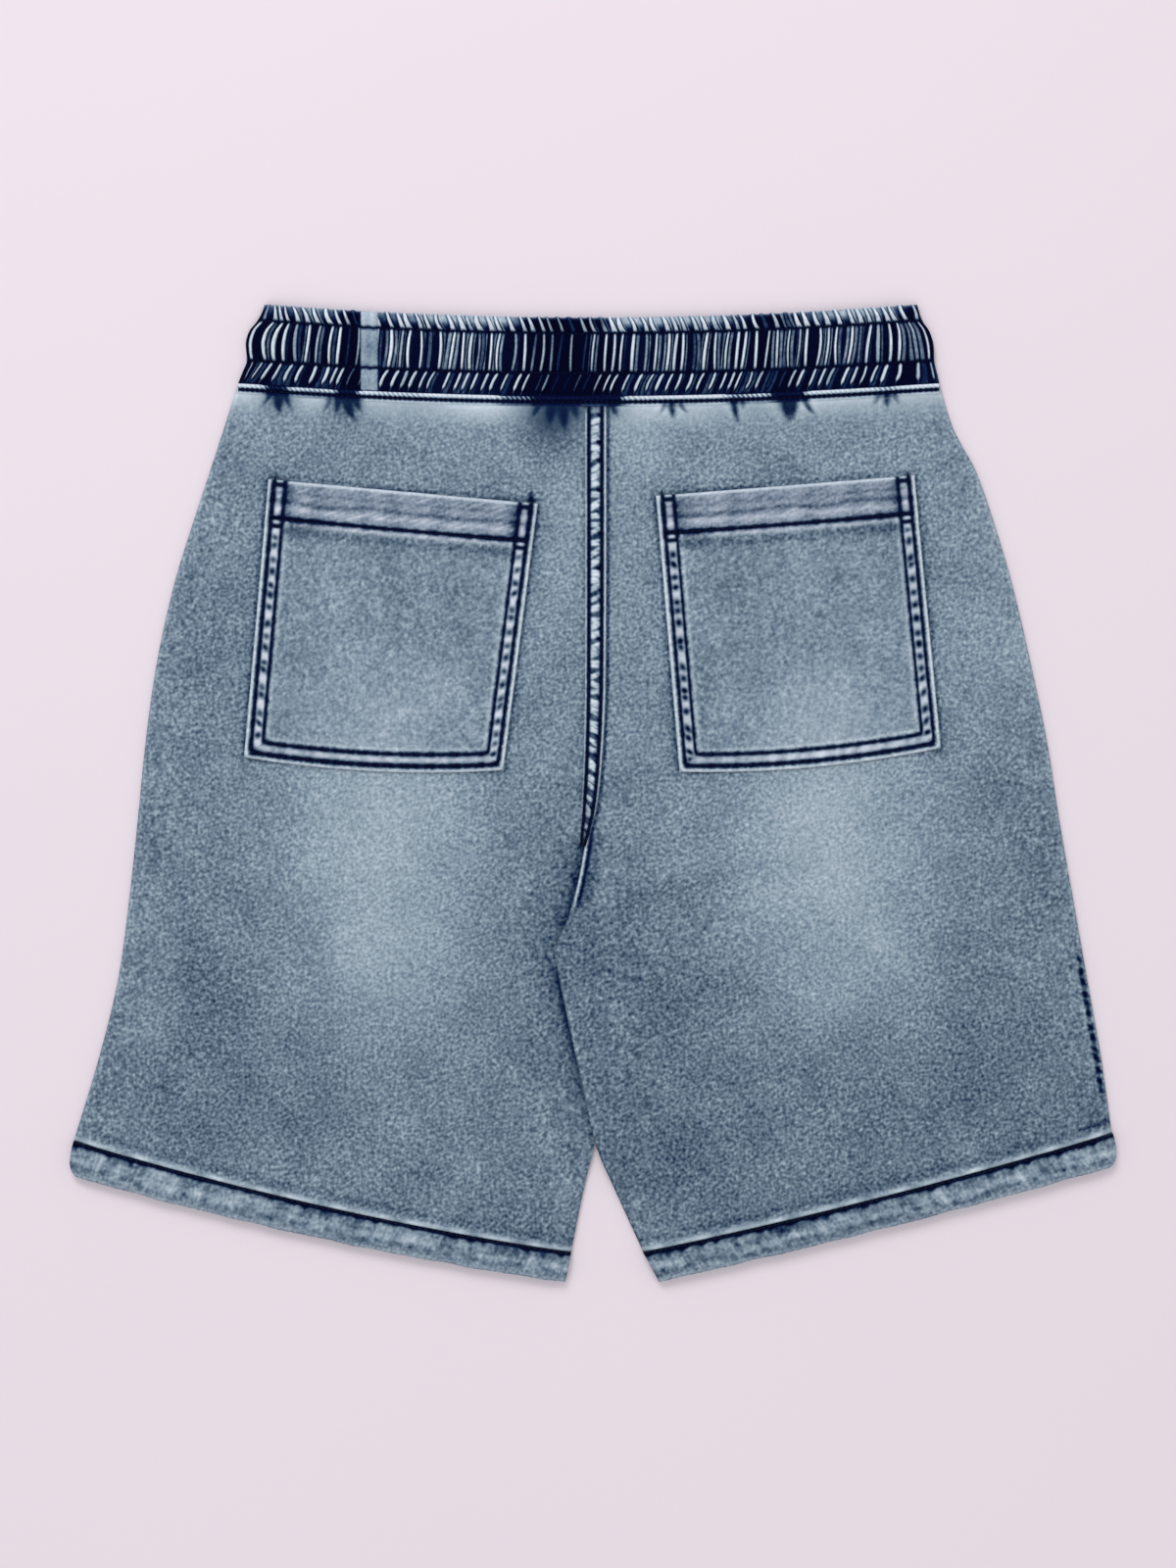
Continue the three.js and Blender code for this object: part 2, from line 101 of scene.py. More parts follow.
# Sewing
FELL_ROWS = (0.19, 0.78)  # across the centre seam, as shares of its width
POCKET_ROWS = (3.4, 9.3)  # in from the pocket's edge
POCKET_TACKS = (2.5, 24.0)  # down from the pocket's top
POCKET_FOLD = 22.6  # the turned top's lower edge
LIP_ROW = 44.9  # the stitching under the cord, down from the band's top edge
STITCH_SINK = 0.1  # how deep a stitch lies in the cloth
STITCH_RISE = 0.12  # how far its path runs over the cloth
HEM_THREAD = 1.25  # times the thickness that is set
BAND_THREAD = 0.72
WAIST_SEAM_THREAD = {"thickness": 0.864, "length": 2.2, "gap": 0.7}
GRAIN_TURNS = (0.09, -0.08)  # how far the weave of each pocket is turned, in radians
RIM_STEP = 4  # the lower grid of a shell is this many times coarser


def table(columns, *rows):
    """A short table as one array for each named column."""
    return dict(zip(columns.split(), np.array(rows, dtype=float).T))


def rows_of(columns):
    """The rows of a table, each as named values."""
    names = list(columns)
    return [dict(zip(names, values)) for values in zip(*columns.values())]


# The legs' edges from above, at heights up the garment
SIDE_EDGE = table(
    "y left right",
    (217, -188, 183.5), (192, -196, 191.4), (171, -202.8, 202.8), (140, -213, 213.6),
    (109, -222.4, 222.6), (67, -231.5, 232.4), (26, -237.2, 240.8), (-16, -241.4, 247.4),
    (-58, -246, 254.8), (-99, -251.7, 262), (-141, -262, 269.4), (-184, -275, 275.4),
)
INNER_EDGE = table(
    "y left right",
    (210, 1.5, 1.5), (57, 1.3, 1.3), (15, 0, 0), (-10, -2.2, -2.2), (-31, -2.4, -5),
    (-47, 3, -8), (-63, 9, -12), (-74, 15, -17), (-82, 18, -20.4), (-92, 17, -19.2),
    (-115, 13, -14.6), (-146, 7, -7.8), (-185, 1, 1), (-211, -5, 12), (-243, -11.5, 26.5),
)
CENTRE_SEAM = table(
    "y left right",
    (209.9, -4.2, 7.3), (57, -4.3, 6.8), (15, -5.1, 4.7), (-10, -6.2, 1.6),
    (-28, -6.8, -3.9),
)
SEAM_TOP, SEAM_FOOT = CENTRE_SEAM["y"][0], CENTRE_SEAM["y"][-1]

# The waistband, down from its top edge: its ends, its height and how high its gathers stand
BAND_ROWS = table(
    "down left right base wave",
    (0, -173.7, 171.7, 4.9, 1.4), (4, -175.2, 172.8, 5.4, 2.3),
    (8.5, -177.4, 174.2, 4.8, 0.9), (13.5, -181.6, 177.8, 5.7, 2.5),
    (19.5, -183.7, 180, 6.0, 2.8), (25, -183.6, 180.6, 5.7, 2.5),
    (29.5, -183, 180.6, 4.8, 0.9), (35.5, -185.4, 182, 5.5, 2.2),
    (41.5, -187.8, 183.4, 4.9, 1.0),
)
BAND_STITCHES = (8.5, 29.5)
BAND_FOOT = 41.5
BAND_MIDDLE = {"left": -180.0, "right": 177.0}  # the band's ends, were they not bowed
GATHER_LEAN = table("down lean", (0, -3.3), (8.5, 0), (29.5, -2), (BAND_FOOT, -7.1), (BAND_FOOT + LIP, -7.1))
HEMS = {
    "left": {
        "stitched": {"inner": (-11.5, -243), "outer": (-275, -184), "bow": -5},
        "folded": {"inner": (-14.6, -HALF_LENGTH), "outer": (-HALF_HEM_WIDTH, -202), "bow": -4.7},
    },
    "right": {
        "stitched": {"inner": (26.5, -243), "outer": (275.4, -180), "bow": -2.8},
        "folded": {"inner": (35, -258.4), "outer": (HALF_HEM_WIDTH, -197), "bow": -2},
    },
}
POCKETS = {
    "left": {
        "top": {"inner": (-29.1, 153.1), "outer": (-171.6, 166.1)},
        "low": {"inner": (-47.3, 12.2), "outer": (-184.6, 19)},
    },
    "right": {
        "top": {"inner": (33.3, 157.3), "outer": (170, 168.2)},
        "low": {"inner": (45.8, 11.3), "outer": (184.1, 23.9)},
    },
}
POCKET_BOW = -4.0

# Soft folds of the cloth, high or low
FOLDS = table(
    "x y angle length width height",
    (38, -46, 24, 60, 9, 0.8),
    (64, -72, 12, 55, 10, -0.6),
    (-42, -96, 62, 60, 12, 0.6),
    (30, -150, 118, 60, 11, 0.7),
    (-206, 176, -48, 26, 5, 0.7),
    (96, 196, 82, 24, 7, 0.6),
    (-120, 194, 95, 22, 8, 0.5),
    (-150, -150, 20, 80, 18, 0.6),
    (176, -128, -14, 85, 20, 0.6),
)

# Creases that fan out of the waist seam: where each starts along it, how far
# it leans by its end, its length and width, its depth and how dark it is
CREASES = table(
    "x lean length width depth dark",
    (-171, -5, 8, 1.1, 0.4, 60),
    (-166.5, 0.5, 12, 1.9, 0.6, 95),
    (-162.5, 4, 9, 1.1, 0.4, 60),
    (-139, -4, 9, 1.2, 0.4, 50),
    (-135, -1, 10, 1.2, 0.5, 70),
    (-130.5, 5.5, 14, 2.1, 0.9, 95),
    (-125, 3, 9, 1.8, 0.5, 70),
    (-29, -5, 9, 1.6, 0.4, 40),
    (-22, -1, 12, 2.2, 0.6, 45),
    (-15.5, 1, 16, 2.6, 0.8, 50),
    (-9.5, 2, 11, 2.4, 0.6, 45),
    (10.5, 3, 8, 1.6, 0.5, 60),
    (38, -3, 6, 1.2, 0.4, 60),
    (41.5, 1.5, 9, 1.7, 0.7, 100),
    (46, 5, 6, 1.2, 0.4, 65),
    (74.5, 3, 12, 1.3, 0.6, 100),
    (79, 1, 5, 1.2, 0.3, 50),
    (102, 2.5, 13, 2.8, 0.9, 110),
    (107, -2, 12, 1.8, 0.7, 85),
    (112, 7, 10, 1.3, 0.5, 90),
    (151, -3, 6, 1.3, 0.3, 50),
    (155.5, 0, 8, 1.7, 0.4, 75),
    (159.5, 3, 6, 1.3, 0.3, 50),
)

# Soft patches of the wash, paler or darker than the cloth round them
FADES = table(
    "x y angle length width amount",
    (-112, -34, 90, 108, 55, 40),
    (-115, -102, 0, 24, 28, 9),
    (125, -33, 90, 102, 57, 40),
    (112, -20, 60, 40, 12, 5),
    (142, -62, 118, 44, 11, 5),
    (45, -92, -15, 45, 22, -9),
    (189, -123, 0, 28, 18, -8),
    (-208, -99, 0, 22, 20, -8),
    (216, 0, 80, 22, 14, -7),
    (216, 58, 0, 24, 17, 6),
    (146, -92, 0, 26, 22, 8),
    (-159, -151, 0, 38, 26, -7),
    (78, 190, -16, 38, 5, 8),
    (96, 178, -34, 30, 5, -8),
    (-150, 178, 30, 30, 6, -6),
    (0, -90, 92, 50, 25, -12),
    (42, -105, 90, 85, 48, -3),
    (50, -192, 0, 50, 28, -11),
    (-40, -176, 90, 40, 30, 6),
    (-117, -80, 0, 30, 20, 4),
    (150, -165, 0, 70, 34, -10),
    (236, -95, 90, 60, 18, 3),
    (-238, -90, 90, 60, 16, 12),
    (-105, 98, 0, 42, 32, -7),
    (-112, 46, 0, 36, 18, 5),
    (122, 42, 0, 34, 18, 11),
    (-204, 88, 82, 70, 24, -11),
    (26, 190, 0, 26, 17, 14),
    (44, -38, 21, 42, 3.5, 6),
    (58, -47, 17, 46, 3.5, -8),
    (70, -60, 12, 50, 4, 5),
    (-15, 140, 90, 60, 14, 10),
    (20, 120, 90, 70, 12, 6),
    (216, 100, -75, 70, 16, 9),
    (-21, 202, 0, 15, 19, -78),
    (10, 204, 0, 8, 6, -50),
    (-131, 206, 0, 9, 8, -54),
    (-166, 209, 0, 9, 6, -48),
    (104, 207, 0, 8, 6, -34),
    (47, 206, 0, 6, 4, -26),
    (156, 210, 0, 8, 5, -24),
)

# Stretches of the waistband where the dye kept dark (above 0) or wore pale
BAND_ZONES = table(
    "x half dark",
    (-180, 7, 0.1), (-152, 12, -0.08), (-126.5, 4.5, 1.8), (-64, 30, -0.66), (-14, 20, 1.4),
    (30, 22, -0.7), (60, 12, -0.3), (97, 13, 0.72), (135, 18, -0.45), (172, 8, 0.35),
)

# Stretches where the corded seam turns under
CORD_HIDDEN = table(
    "low high amount",
    (-174, -161, 0.85), (-161, -136, 0.3), (-136, -123.5, 0.9), (-50, -31, 0.6),
    (-31, 16, 1.0), (80, 108, 0.35), (150, 161, 0.3), (70, 80.5, 0.55), (95, 113, 0.85),
)
PLAIN_PATCH = {"low": -123.4, "high": -113.2, "ease": 1.2}  # an ungathered stretch of the band

# Smudged thread ends past the pockets' top corners
THREAD_ENDS = table(
    "x y width length dark",
    (-32.6, 154.6, 2.1, 6.0, 110),
    (-167.6, 165.8, 1.3, 2.6, 60),
    (36.9, 157.6, 1.2, 2.4, 60),
    (166.2, 167.8, 1.3, 2.6, 55),
)

# Tones, 0 to 255
WASHED = {"foot": 120.0, "waist": 136.0}
WORN_EDGE = 206
INDIGO = 12
STITCHED = 4

# Features of the cloth's dye and yarns in a metre, across, down and through it
HEATHER = 570
WEFT = (340, 720, 400)
WARP = (780, 330, 400)
CLOUDS = 32

# The dye: tone, then its colour as seen, 0 to 255
DYE = table(
    "tone red green blue",
    (8, 0, 2, 28), (30, 2, 15, 54), (57, 24, 47, 79), (85, 65, 84, 104), (110, 91, 109, 127),
    (126, 108, 126, 143), (141, 124, 142, 158), (158, 143, 160, 173), (175, 162, 177, 189),
    (198, 188, 201, 214), (228, 221, 229, 238),
)

# The stage: the ground in millimetres, the rest in metres, and the lights' angles in degrees
GROUND = {"reach": 3000.0, "level": -0.2}
FRAME_HEIGHT = 0.832  # how much of the ground the picture takes in
CAMERA_OVER = (-0.0026, 0.00494)
LAMPS = table("share size up round away", (1, 1.3, 42, 106, 3), (0.42, 2.4, 52, 262, 3))


def mix(a, b, t):
    """From a at t 0 to b at t 1."""
    return a + (b - a) * t


def unit(t):
    """t, held from 0 to 1."""
    return np.clip(t, 0, 1)


def smooth(t):
    """An S curve from 0 to 1: 3 t^2 - 2 t^3, flat outside."""
    t = unit(t)
    return t * t * (3 - 2 * t)


def ramp(value, start, length):
    """An S curve from 0 at start to 1 a length further on, or back where length is below 0."""
    return smooth((value - start) / length)


def toned(tone, to, amount):
    """tone brought towards another by an amount that is held from 0 to 1."""
    return mix(tone, to, unit(amount))


def least_of(a, b, ease):
    """The lesser of two distances, eased where they meet: -ease ln(exp(-a/ease) + exp(-b/ease))."""
    return -ease * np.log(np.exp(-a / ease) + np.exp(-b / ease))


def bell(distance, width):
    """A bump of height 1: exp(-(distance / width)^2)."""
    return np.exp(-((distance / width) ** 2))


def uneven(along, pitch, seed):
    """A wave from about -1 to 1 that never repeats: three sines of unlike pitch."""
    turns = 2 * np.pi * along / pitch
    return (
        np.sin(turns + 1.3 * seed)
        + 0.7 * np.sin(turns * 1.618 + 2.1 * seed)
        + 0.5 * np.sin(turns * 0.585 + 3.7 * seed)
    ) / 1.9


def puckers(along, across, pitch, seed, least=0.35, broad=(0.17, 0.36)):
    """Irregular swells along a channel, from least to 1 high: one bell in each pitch, its
    place, breadth, height and slant drawn by chance. across is the distance off the middle."""
    chance = np.random.default_rng(seed).random((4, CHANCES))
    cell = np.floor(along / pitch).astype(int)
    total = np.zeros(np.broadcast(along, across).shape)
    for neighbour in (-1, 0, 1):
        place, breadth, height, slant = (c[(cell + neighbour) % CHANCES] for c in chance)
        centre = (cell + neighbour + 0.5 + 0.6 * (place - 0.5)) * pitch
        swell = bell(along - centre - (slant - 0.3) * 0.8 * across, pitch * mix(*broad, breadth))
        total = np.maximum(total, mix(least, 1.0, height) * swell)
    return total


def curve_through(rows, column, at="y"):
    """A smooth curve through one column of a table: cubic Hermite spans, each
    inner slope the slope between the two neighbouring rows."""
    order = np.argsort(rows[at])
    place, value = rows[at][order], rows[column][order]
    slope = np.empty_like(value)
    slope[1:-1] = (value[2:] - value[:-2]) / (place[2:] - place[:-2])
    slope[0] = (value[1] - value[0]) / (place[1] - place[0])
    slope[-1] = (value[-1] - value[-2]) / (place[-1] - place[-2])

    def curve(where):
        i = np.clip(np.searchsorted(place, where) - 1, 0, len(place) - 2)
        span = place[i + 1] - place[i]
        t = unit((where - place[i]) / span)
        t2, t3 = t * t, t * t * t
        ends = (2 * t3 - 3 * t2 + 1) * value[i] + (3 * t2 - 2 * t3) * value[i + 1]
        return ends + span * ((t3 - 2 * t2 + t) * slope[i] + (t3 - t2) * slope[i + 1])

    return curve


def both_sides(rows):
    return {side: curve_through(rows, side) for side in SIDES}


side_edge = both_sides(SIDE_EDGE)
inner_edge = both_sides(INNER_EDGE)
seam_edge = both_sides(CENTRE_SEAM)
band = {column: curve_through(BAND_ROWS, column, "down") for column in list(BAND_ROWS)[1:]}


def steps(count, crowding=0.0):
    """0 to 1 in count steps, closer together near both ends."""
    t = np.linspace(0, 1, count + 1)
    return t - crowding * np.sin(2 * np.pi * t) / (2 * np.pi)


def runs(*parts):
    """Runs of even steps, each (from, to, count), as one rising array."""
    pieces = [np.linspace(low, high, count + 1)[1:] for low, high, count in parts]
    return np.concatenate([[parts[0][0]], *pieces])


def band_y(down, x):
    """Height up the garment of a row of the waistband: its middle sags as a parabola."""
    left, right = band["left"](down), band["right"](down)
    s = (x - left) / (right - left)
    return HALF_LENGTH - down - BAND_SAG * 4 * s * (1 - s)


def stacked_along(y):
    """1 along the stretch where one leg lies over the other."""
    return ramp(y, OVERLAP_TOP, -30) * ramp(y, OVERLAP_FOOT, 34)


def overlap_lift(side, x, y):
    """How high the right leg is carried where the left one lies under it."""
    if side == "left":
        return np.zeros_like(x)
    reach = inner_edge["left"](y) + OVERLAP_MARGIN + OVERLAP_RAMP
    return STACK * ramp(reach, x, OVERLAP_RAMP) * stacked_along(y)


def pressed_flat(side, x, y):
    """1 where the left leg is pressed flat under the right one."""
    if side == "right":
        return np.zeros_like(x)
    start = inner_edge["right"](y) - OVERLAP_MARGIN - OVERLAP_RAMP
    return ramp(x, start, OVERLAP_RAMP) * stacked_along(y)


def patches(rows, x, y, height, fall):
    """The sum of soft ellipses: height times a bell across each patch's width, times
    fall, which takes the distance along it as a share of its length."""
    total = np.zeros_like(x)
    for row in rows_of(rows):
        turn = math.radians(row["angle"])
        dx, dy = x - row["x"], y - row["y"]
        along = dx * math.cos(turn) + dy * math.sin(turn)
        across = dy * math.cos(turn) - dx * math.sin(turn)
        total += row[height] * bell(across, row["width"]) * fall(along / row["length"])
    return total


def billow(side, x, y):
    """Gap between front and back panel: BILLOW plus the folds, eased to nothing at
    the folded edges by 1 - exp(-distance / EDGE_ROUNDING) and where a leg is pressed."""
    from_side = np.abs(side_edge[side](y) - x)
    from_inside = np.abs(x - inner_edge[side](y))
    folded_inside = ramp(y, -20, -60)
    inside = mix(1, 1 - np.exp(-from_inside / EDGE_ROUNDING), folded_inside)
    folds = patches(FOLDS, x, y, "height", lambda share: smooth(1 - np.abs(share)))
    ripple = 0.16 * uneven(x + 0.35 * y, 41, 2) * uneven(y - 0.2 * x, 57, 5)
    opened = (BILLOW + folds + ripple) * (1 - np.exp(-from_side / EDGE_ROUNDING)) * inside
    return opened * (1 - pressed_flat(side, x, y))


def back_under(side, x, y):
    return overlap_lift(side, x, y) + CLOTH + SEAM_GAP + billow(side, x, y)


def back_top(side, x, y):
    return back_under(side, x, y) + CLOTH


def hem_line(line, u):
    """A hem's stitched or folded line: straight between its ends, bowed by a parabola."""
    x = mix(line["inner"][0], line["outer"][0], u)
    y = mix(line["inner"][1], line["outer"][1], u) + line["bow"] * 4 * u * (1 - u)
    return x, y


def panel_plan(side, u, v):
    """A panel from above: u from its inner edge to the side seam, v from the waist
    seam to the hem's stitched line, straight across between the two edge curves."""
    stitched = HEMS[side]["stitched"]
    waist = {"inner": INNER_EDGE[side][0], "outer": SIDE_EDGE[side][0]}

    def y_at(share):
        top = band_y(BAND_FOOT, mix(waist["inner"], waist["outer"], share)) - SEAM_GAP
        low = hem_line(stitched, share)[1] + SEAM_GAP
        return mix(top, low, v)

    half_gap = (-0.5 if side == "left" else 0.5) * SEAM_GAP
    x_inner = inner_edge[side](y_at(0.0)) + half_gap
    x_outer = side_edge[side](y_at(1.0))
    return mix(x_inner, x_outer, u), y_at(u)


def edge_round(distance, radius, drop):
    """How far a cut or folded edge turns down: drop times a quarter circle."""
    t = unit(1 - distance / radius)
    return drop * (1 - np.sqrt(1 - t * t * 0.98))


def wash_tone(x, y):
    """Tone of the washed cloth: darker down the legs, plus the soft patches."""
    soft = patches(FADES, x, y, "amount", lambda share: bell(share, 1))
    return mix(WASHED["foot"], WASHED["waist"], ramp(y, -130, 260)) + soft


def outside_pocket(side, x, y):
    """Distance from a point to the pocket's outline, 0 within it."""
    corners = POCKETS[side]
    loop = [*corners["top"].values(), *reversed(corners["low"].values())]
    turn = 1 if side == "left" else -1
    inside = np.ones_like(x, dtype=bool)
    nearest = np.full_like(x, 1e9)
    for (ax, ay), (bx, by) in zip(loop, loop[1:] + loop[:1]):
        ex, ey = bx - ax, by - ay
        share = unit(((x - ax) * ex + (y - ay) * ey) / (ex * ex + ey * ey))
        nearest = np.minimum(nearest, np.hypot(x - ax - share * ex, y - ay - share * ey))
        inside &= turn * (ex * (y - ay) - ey * (x - ax)) >= 0
    return np.where(inside, 0, nearest)


def waist_creases(x, below):
    """(height, darkening) of the creases that fan out of the waist seam: each is a
    blade that leans more and narrows as it runs down, with a soft swell on both sides."""
    height, dark = np.zeros_like(x), np.zeros_like(x)
    for row in rows_of(CREASES):
        along = np.clip((below - LIP + 1.5) / row["length"], 0, 1.5)
        centre = row["x"] + row["lean"] * (0.35 * along + 0.65 * along**2)
        narrow = 0.5 + 0.95 * row["width"] * unit(1 - along) ** 0.6
        fall = ramp(along, 1.12, -0.8)
        trough = bell(x - centre, narrow) * fall
        swell = bell(np.abs(x - centre) - 2.4 * narrow - 0.6, narrow + 0.6) * fall
        height += row["depth"] * (0.4 * swell - trough)
        # Darker along each trough; the swells beside it are a little paler, a painted highlight.
        dark += 1.4 * row["dark"] * (trough - 0.1 * swell)
    return height * smooth((below - LIP + 0.4) / 2.2), dark


def back_panel_surface(side, u, v):
    """Upper face of a back panel: the solid's height plus the waist creases, the roll
    above the hem and the turned edges, with each point's tone and how calm its flecks are."""
    x, y = panel_plan(side, u, v)
    below = band_y(BAND_FOOT, x) - SEAM_GAP - y
    above_hem = y - hem_line(HEMS[side]["stitched"], u)[1]
    width = np.abs(side_edge[side](y) - inner_edge[side](y))
    from_inside, from_side = u * width, (1 - u) * width
    crease, dark = waist_creases(x, below)
    roll = bell(above_hem - 1.3, 1.7)
    z = back_top(side, x, y) + (crease + 0.6 * roll) * smooth(from_side / 12)
    z -= edge_round(from_side, 1.6, 0.95)

    stains = bell(x + 166, 9) + bell(x + 131, 10) + bell(x + 16, 21)
    pale_top = (52 * bell(below - 6.5, 8.0) + 14 * bell(below - 6.4, 1.0)) * (0.85 + 0.3 * uneven(x, 95, 4))
    pale_top = pale_top * unit(1 - 1.3 * stains) * mix(1.0, 0.78, ramp(x, 10, 40))
    tone = -least_of(dark - wash_tone(x, y) - pale_top, -36 - 8 * bell(below - 5, 3), 6)
    # The roll above the hem is paler; about 6 mm above it lies a faint band of painted shade.
    tone += 70 * roll * (0.76 + 0.44 * uneven(x, 21, 8)) - 16 * bell(above_hem - 6.4, 2.0)
    tone = mix(tone, 60, 0.3 * ramp(above_hem, 0.1, -0.5))
    calm = 0.75 * bell(below - 4, 11) + 0.5 * bell(x + 21, 16) * bell(below - 13, 12) + 0.55 * roll
    off_pocket = outside_pocket(side, x, y)
    # Painted shadow round each pocket: dark just outside its edge, with a faint wide fringe.
    tone -= (52 * bell(off_pocket - 0.4, 1.3) + 8 * bell(off_pocket, 6)) * (off_pocket > 0)
    for end in rows_of(THREAD_ENDS):
        rise = unit((y - end["y"]) / end["length"])
        wisp = bell(x - end["x"], end["width"] * (1.1 - rise)) * ramp(rise, 1, -0.5)
        tone -= end["dark"] * wisp * (y > end["y"] - 1)
    if side == "right":
        drop, tone = right_leg(x, y, from_inside, from_side, above_hem, tone)
    else:
        drop, tone = left_leg(x, y, from_inside, tone)
    return x, y, z - drop, tone + 16 * bell(from_side - 1.0, 1.2), np.clip(calm, 0, 0.8)


def right_leg(x, y, from_inside, from_side, above_hem, tone):
    """(drop, tone) of what the right leg has of its own: the ridge at the crotch, its lap
    over the left leg and the beaded side seam near its foot."""
    # Painted shadow: a dark line just right of the centre seam's right edge.
    tone = mix(tone, 46, 0.8 * bell(x - seam_edge["right"](y) - 0.8, 1.0) * ramp(y, -40, 20))
    crotch = ramp(y, CROTCH, -12) * ramp(y, -66, 12)
    tone = mix(tone, 222, 0.98 * bell(from_inside - 0.9, 0.85) * crotch)
    tone = mix(tone, 32, 0.92 * bell(from_inside - 2.9, 1.15) * crotch)
    # Painted shade beside the crotch ridge, soft and a few millimetres wide.
    tone -= 30 * bell(from_inside - 5.5, 4.0) * crotch
    lap = 24 * bell(from_inside - 1.5, 0.9) * ramp(y, -190, 70) - 30 * bell(from_inside, 0.6)
    tone += lap * ramp(y, -90, -10)
    stretch = ramp(y, -80, -12) * ramp(y, -166, 14)
    knots = puckers(y, from_side - 2.6, 5.7, 2, 0.7, (0.26, 0.38)) * bell(from_side - 2.7, 1.6) * stretch
    tone = toned(tone, 8, 2.0 * knots)
    tone += (26 * bell(from_side - 4.9, 1.0) + 16 * bell(from_side - 0.8, 0.7)) * stretch
    # Painted shade about 6 mm above the hem, towards the side seam.
    tone = mix(tone, 44, 0.8 * bell(above_hem - 6.6, 1.3) * ramp(from_side, 24, -18))
    return edge_round(from_inside, 1.5, 0.9) * ramp(y, CROTCH, -20) + 0.3 * knots, tone


def left_leg(x, y, from_inside, tone):
    """(drop, tone) of what the left leg has of its own: the shade of the leg that laps it."""
    beside = np.clip(inner_edge["right"](y) - x, 0, None)
    # Painted shade beside the right leg's edge: broad and faint, then narrow and dark at the crotch and below
    # it.
    tone -= 14 * bell(beside, 14) * ramp(y, CROTCH, -20) * ramp(y, -200, 40)
    tone -= 46 * bell(beside, 3.2) * ramp(y, CROTCH, -14) * ramp(y, -76, 12)
    tone -= 62 * bell(beside, 2.4) * ramp(y, -88, -10) * ramp(y, -196, 90)
    # Painted shade along the centre seam's left edge.
    tone -= 16 * bell(x - seam_edge["left"](y) + 0.8, 1.2) * ramp(y, -20, 20)
    return edge_round(from_inside, 1.5, 0.9) * ramp(y, -190, -15), tone


def coarse(array):
    return array[::RIM_STEP, ::RIM_STEP]


def shell(name, fine, under, tone, calm=0.0, blush=0.0):
    """A closed piece of cloth. fine is its detailed face, three arrays of one shape, and
    under gives the height of the plain face behind it, on every fourth line of the grid.
    Fans of faces join the two rims: each stretch of the fine rim meets the nearest
    corner of the coarse one. Its points carry their tone, how calm the flecks of dye
    are there and how much the wash blushes."""
    x, y, _ = fine
    faces_of_points = (fine, (coarse(x), coarse(y), under))
    points = np.concatenate([np.stack(face, axis=-1).reshape(-1, 3) for face in faces_of_points])
    fine_ids = np.arange(x.size).reshape(x.shape)
    coarse_ids = x.size + np.arange(under.size).reshape(under.shape)

    def skin(ids):
        a, b, c, d = ids[:-1, :-1], ids[:-1, 1:], ids[1:, 1:], ids[1:, :-1]
        return np.stack([a, b, c, a, c, d], -1).reshape(-1, 3)

    def rim(high, plain):
        i, j = np.arange(len(high) - 1), np.arange(len(plain) - 1)
        apex = plain[((i + 0.5) / RIM_STEP + 0.5).astype(int)]
        middle = high[j * RIM_STEP + RIM_STEP // 2]
        fans = [(high[1:], high[:-1], apex), (plain[:-1], plain[1:], middle)]
        return np.concatenate([np.stack(fan, 1) for fan in fans])

    rims = [(ids[0], ids[:, -1], ids[-1], ids[:, 0]) for ids in (fine_ids, coarse_ids)]
    head, right, foot, left = (rim(*pair) for pair in zip(*rims))
    skins = [skin(fine_ids), skin(coarse_ids)[:, ::-1]]
    faces = np.concatenate([*skins, head, right, foot[:, ::-1], left[:, ::-1]])
    piece = mesh_object(name, points, outward(points, faces), smooth_count=len(skins[0]))
    for quality, values, behind in (("tone", tone / 255, 0.46), ("calm", calm, 0.0), ("blush", blush, 0.0)):
        whole = np.full(len(points), behind, dtype=np.float32)
        whole[: x.size] = np.broadcast_to(values, x.shape).ravel()
        piece.data.attributes.new(quality, "FLOAT", "POINT").data.foreach_set("value", whole)
    return piece


def outward(points, faces):
    """The faces of a closed mesh, turned if they point inwards, which is so where
    a . (b x c), summed over them, is below 0."""
    a, b, c = (points[faces[:, k]] for k in range(3))
    return faces[:, ::-1] if (a * np.cross(b, c)).sum() < 0 else faces


def mesh_object(name, points, faces, smooth_count=None):
    """A new object of triangles, its points given in millimetres. Its first faces, or
    all of them, are smooth."""
    mesh = bpy.data.meshes.new(name)
    mesh.vertices.add(len(points))
    mesh.vertices.foreach_set("co", (points * MM).astype(np.float32).ravel())
    mesh.loops.add(faces.size)
    mesh.loops.foreach_set("vertex_index", faces.astype(np.int32).ravel())
    mesh.polygons.add(len(faces))
    mesh.polygons.foreach_set("loop_start", np.arange(0, faces.size, 3, dtype=np.int32))
    mesh.update(calc_edges=True)
    mesh.polygons.foreach_set("use_smooth", np.arange(len(faces)) < (smooth_count or len(faces)))
    mesh.validate()
    piece = bpy.data.objects.new(name, mesh)
    bpy.context.scene.collection.objects.link(piece)
    return piece


def place(piece, material, slot, solid=None):
    """Gives a piece its finish, fastens it to the body and lets it stand for its solid."""
    piece.data.materials.append(material)
    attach(piece, "root")
    if solid:
        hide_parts(solid)
    return piece


def make_back_panel(side):
    """A back panel, close-set at the waist seam, the hem and both edges."""
    ends = (0, 24 / PANEL_LENGTH, 1 - 12 / PANEL_LENGTH, 1)
    vs = runs(*zip(ends[:-1], ends[1:], BACK_STEPS[1]))
    x, y, z, tone, calm = back_panel_surface(side, *np.meshgrid(steps(BACK_STEPS[0], 0.5), vs))
    under = np.minimum(back_under(side, coarse(x), coarse(y)), coarse(z) - 0.25)
    piece = shell(f"back_{side}_cloth", (x, y, z), under, tone, calm)
    return place(piece, denim("washed_denim"), "panel_denim", f"back_{side}")


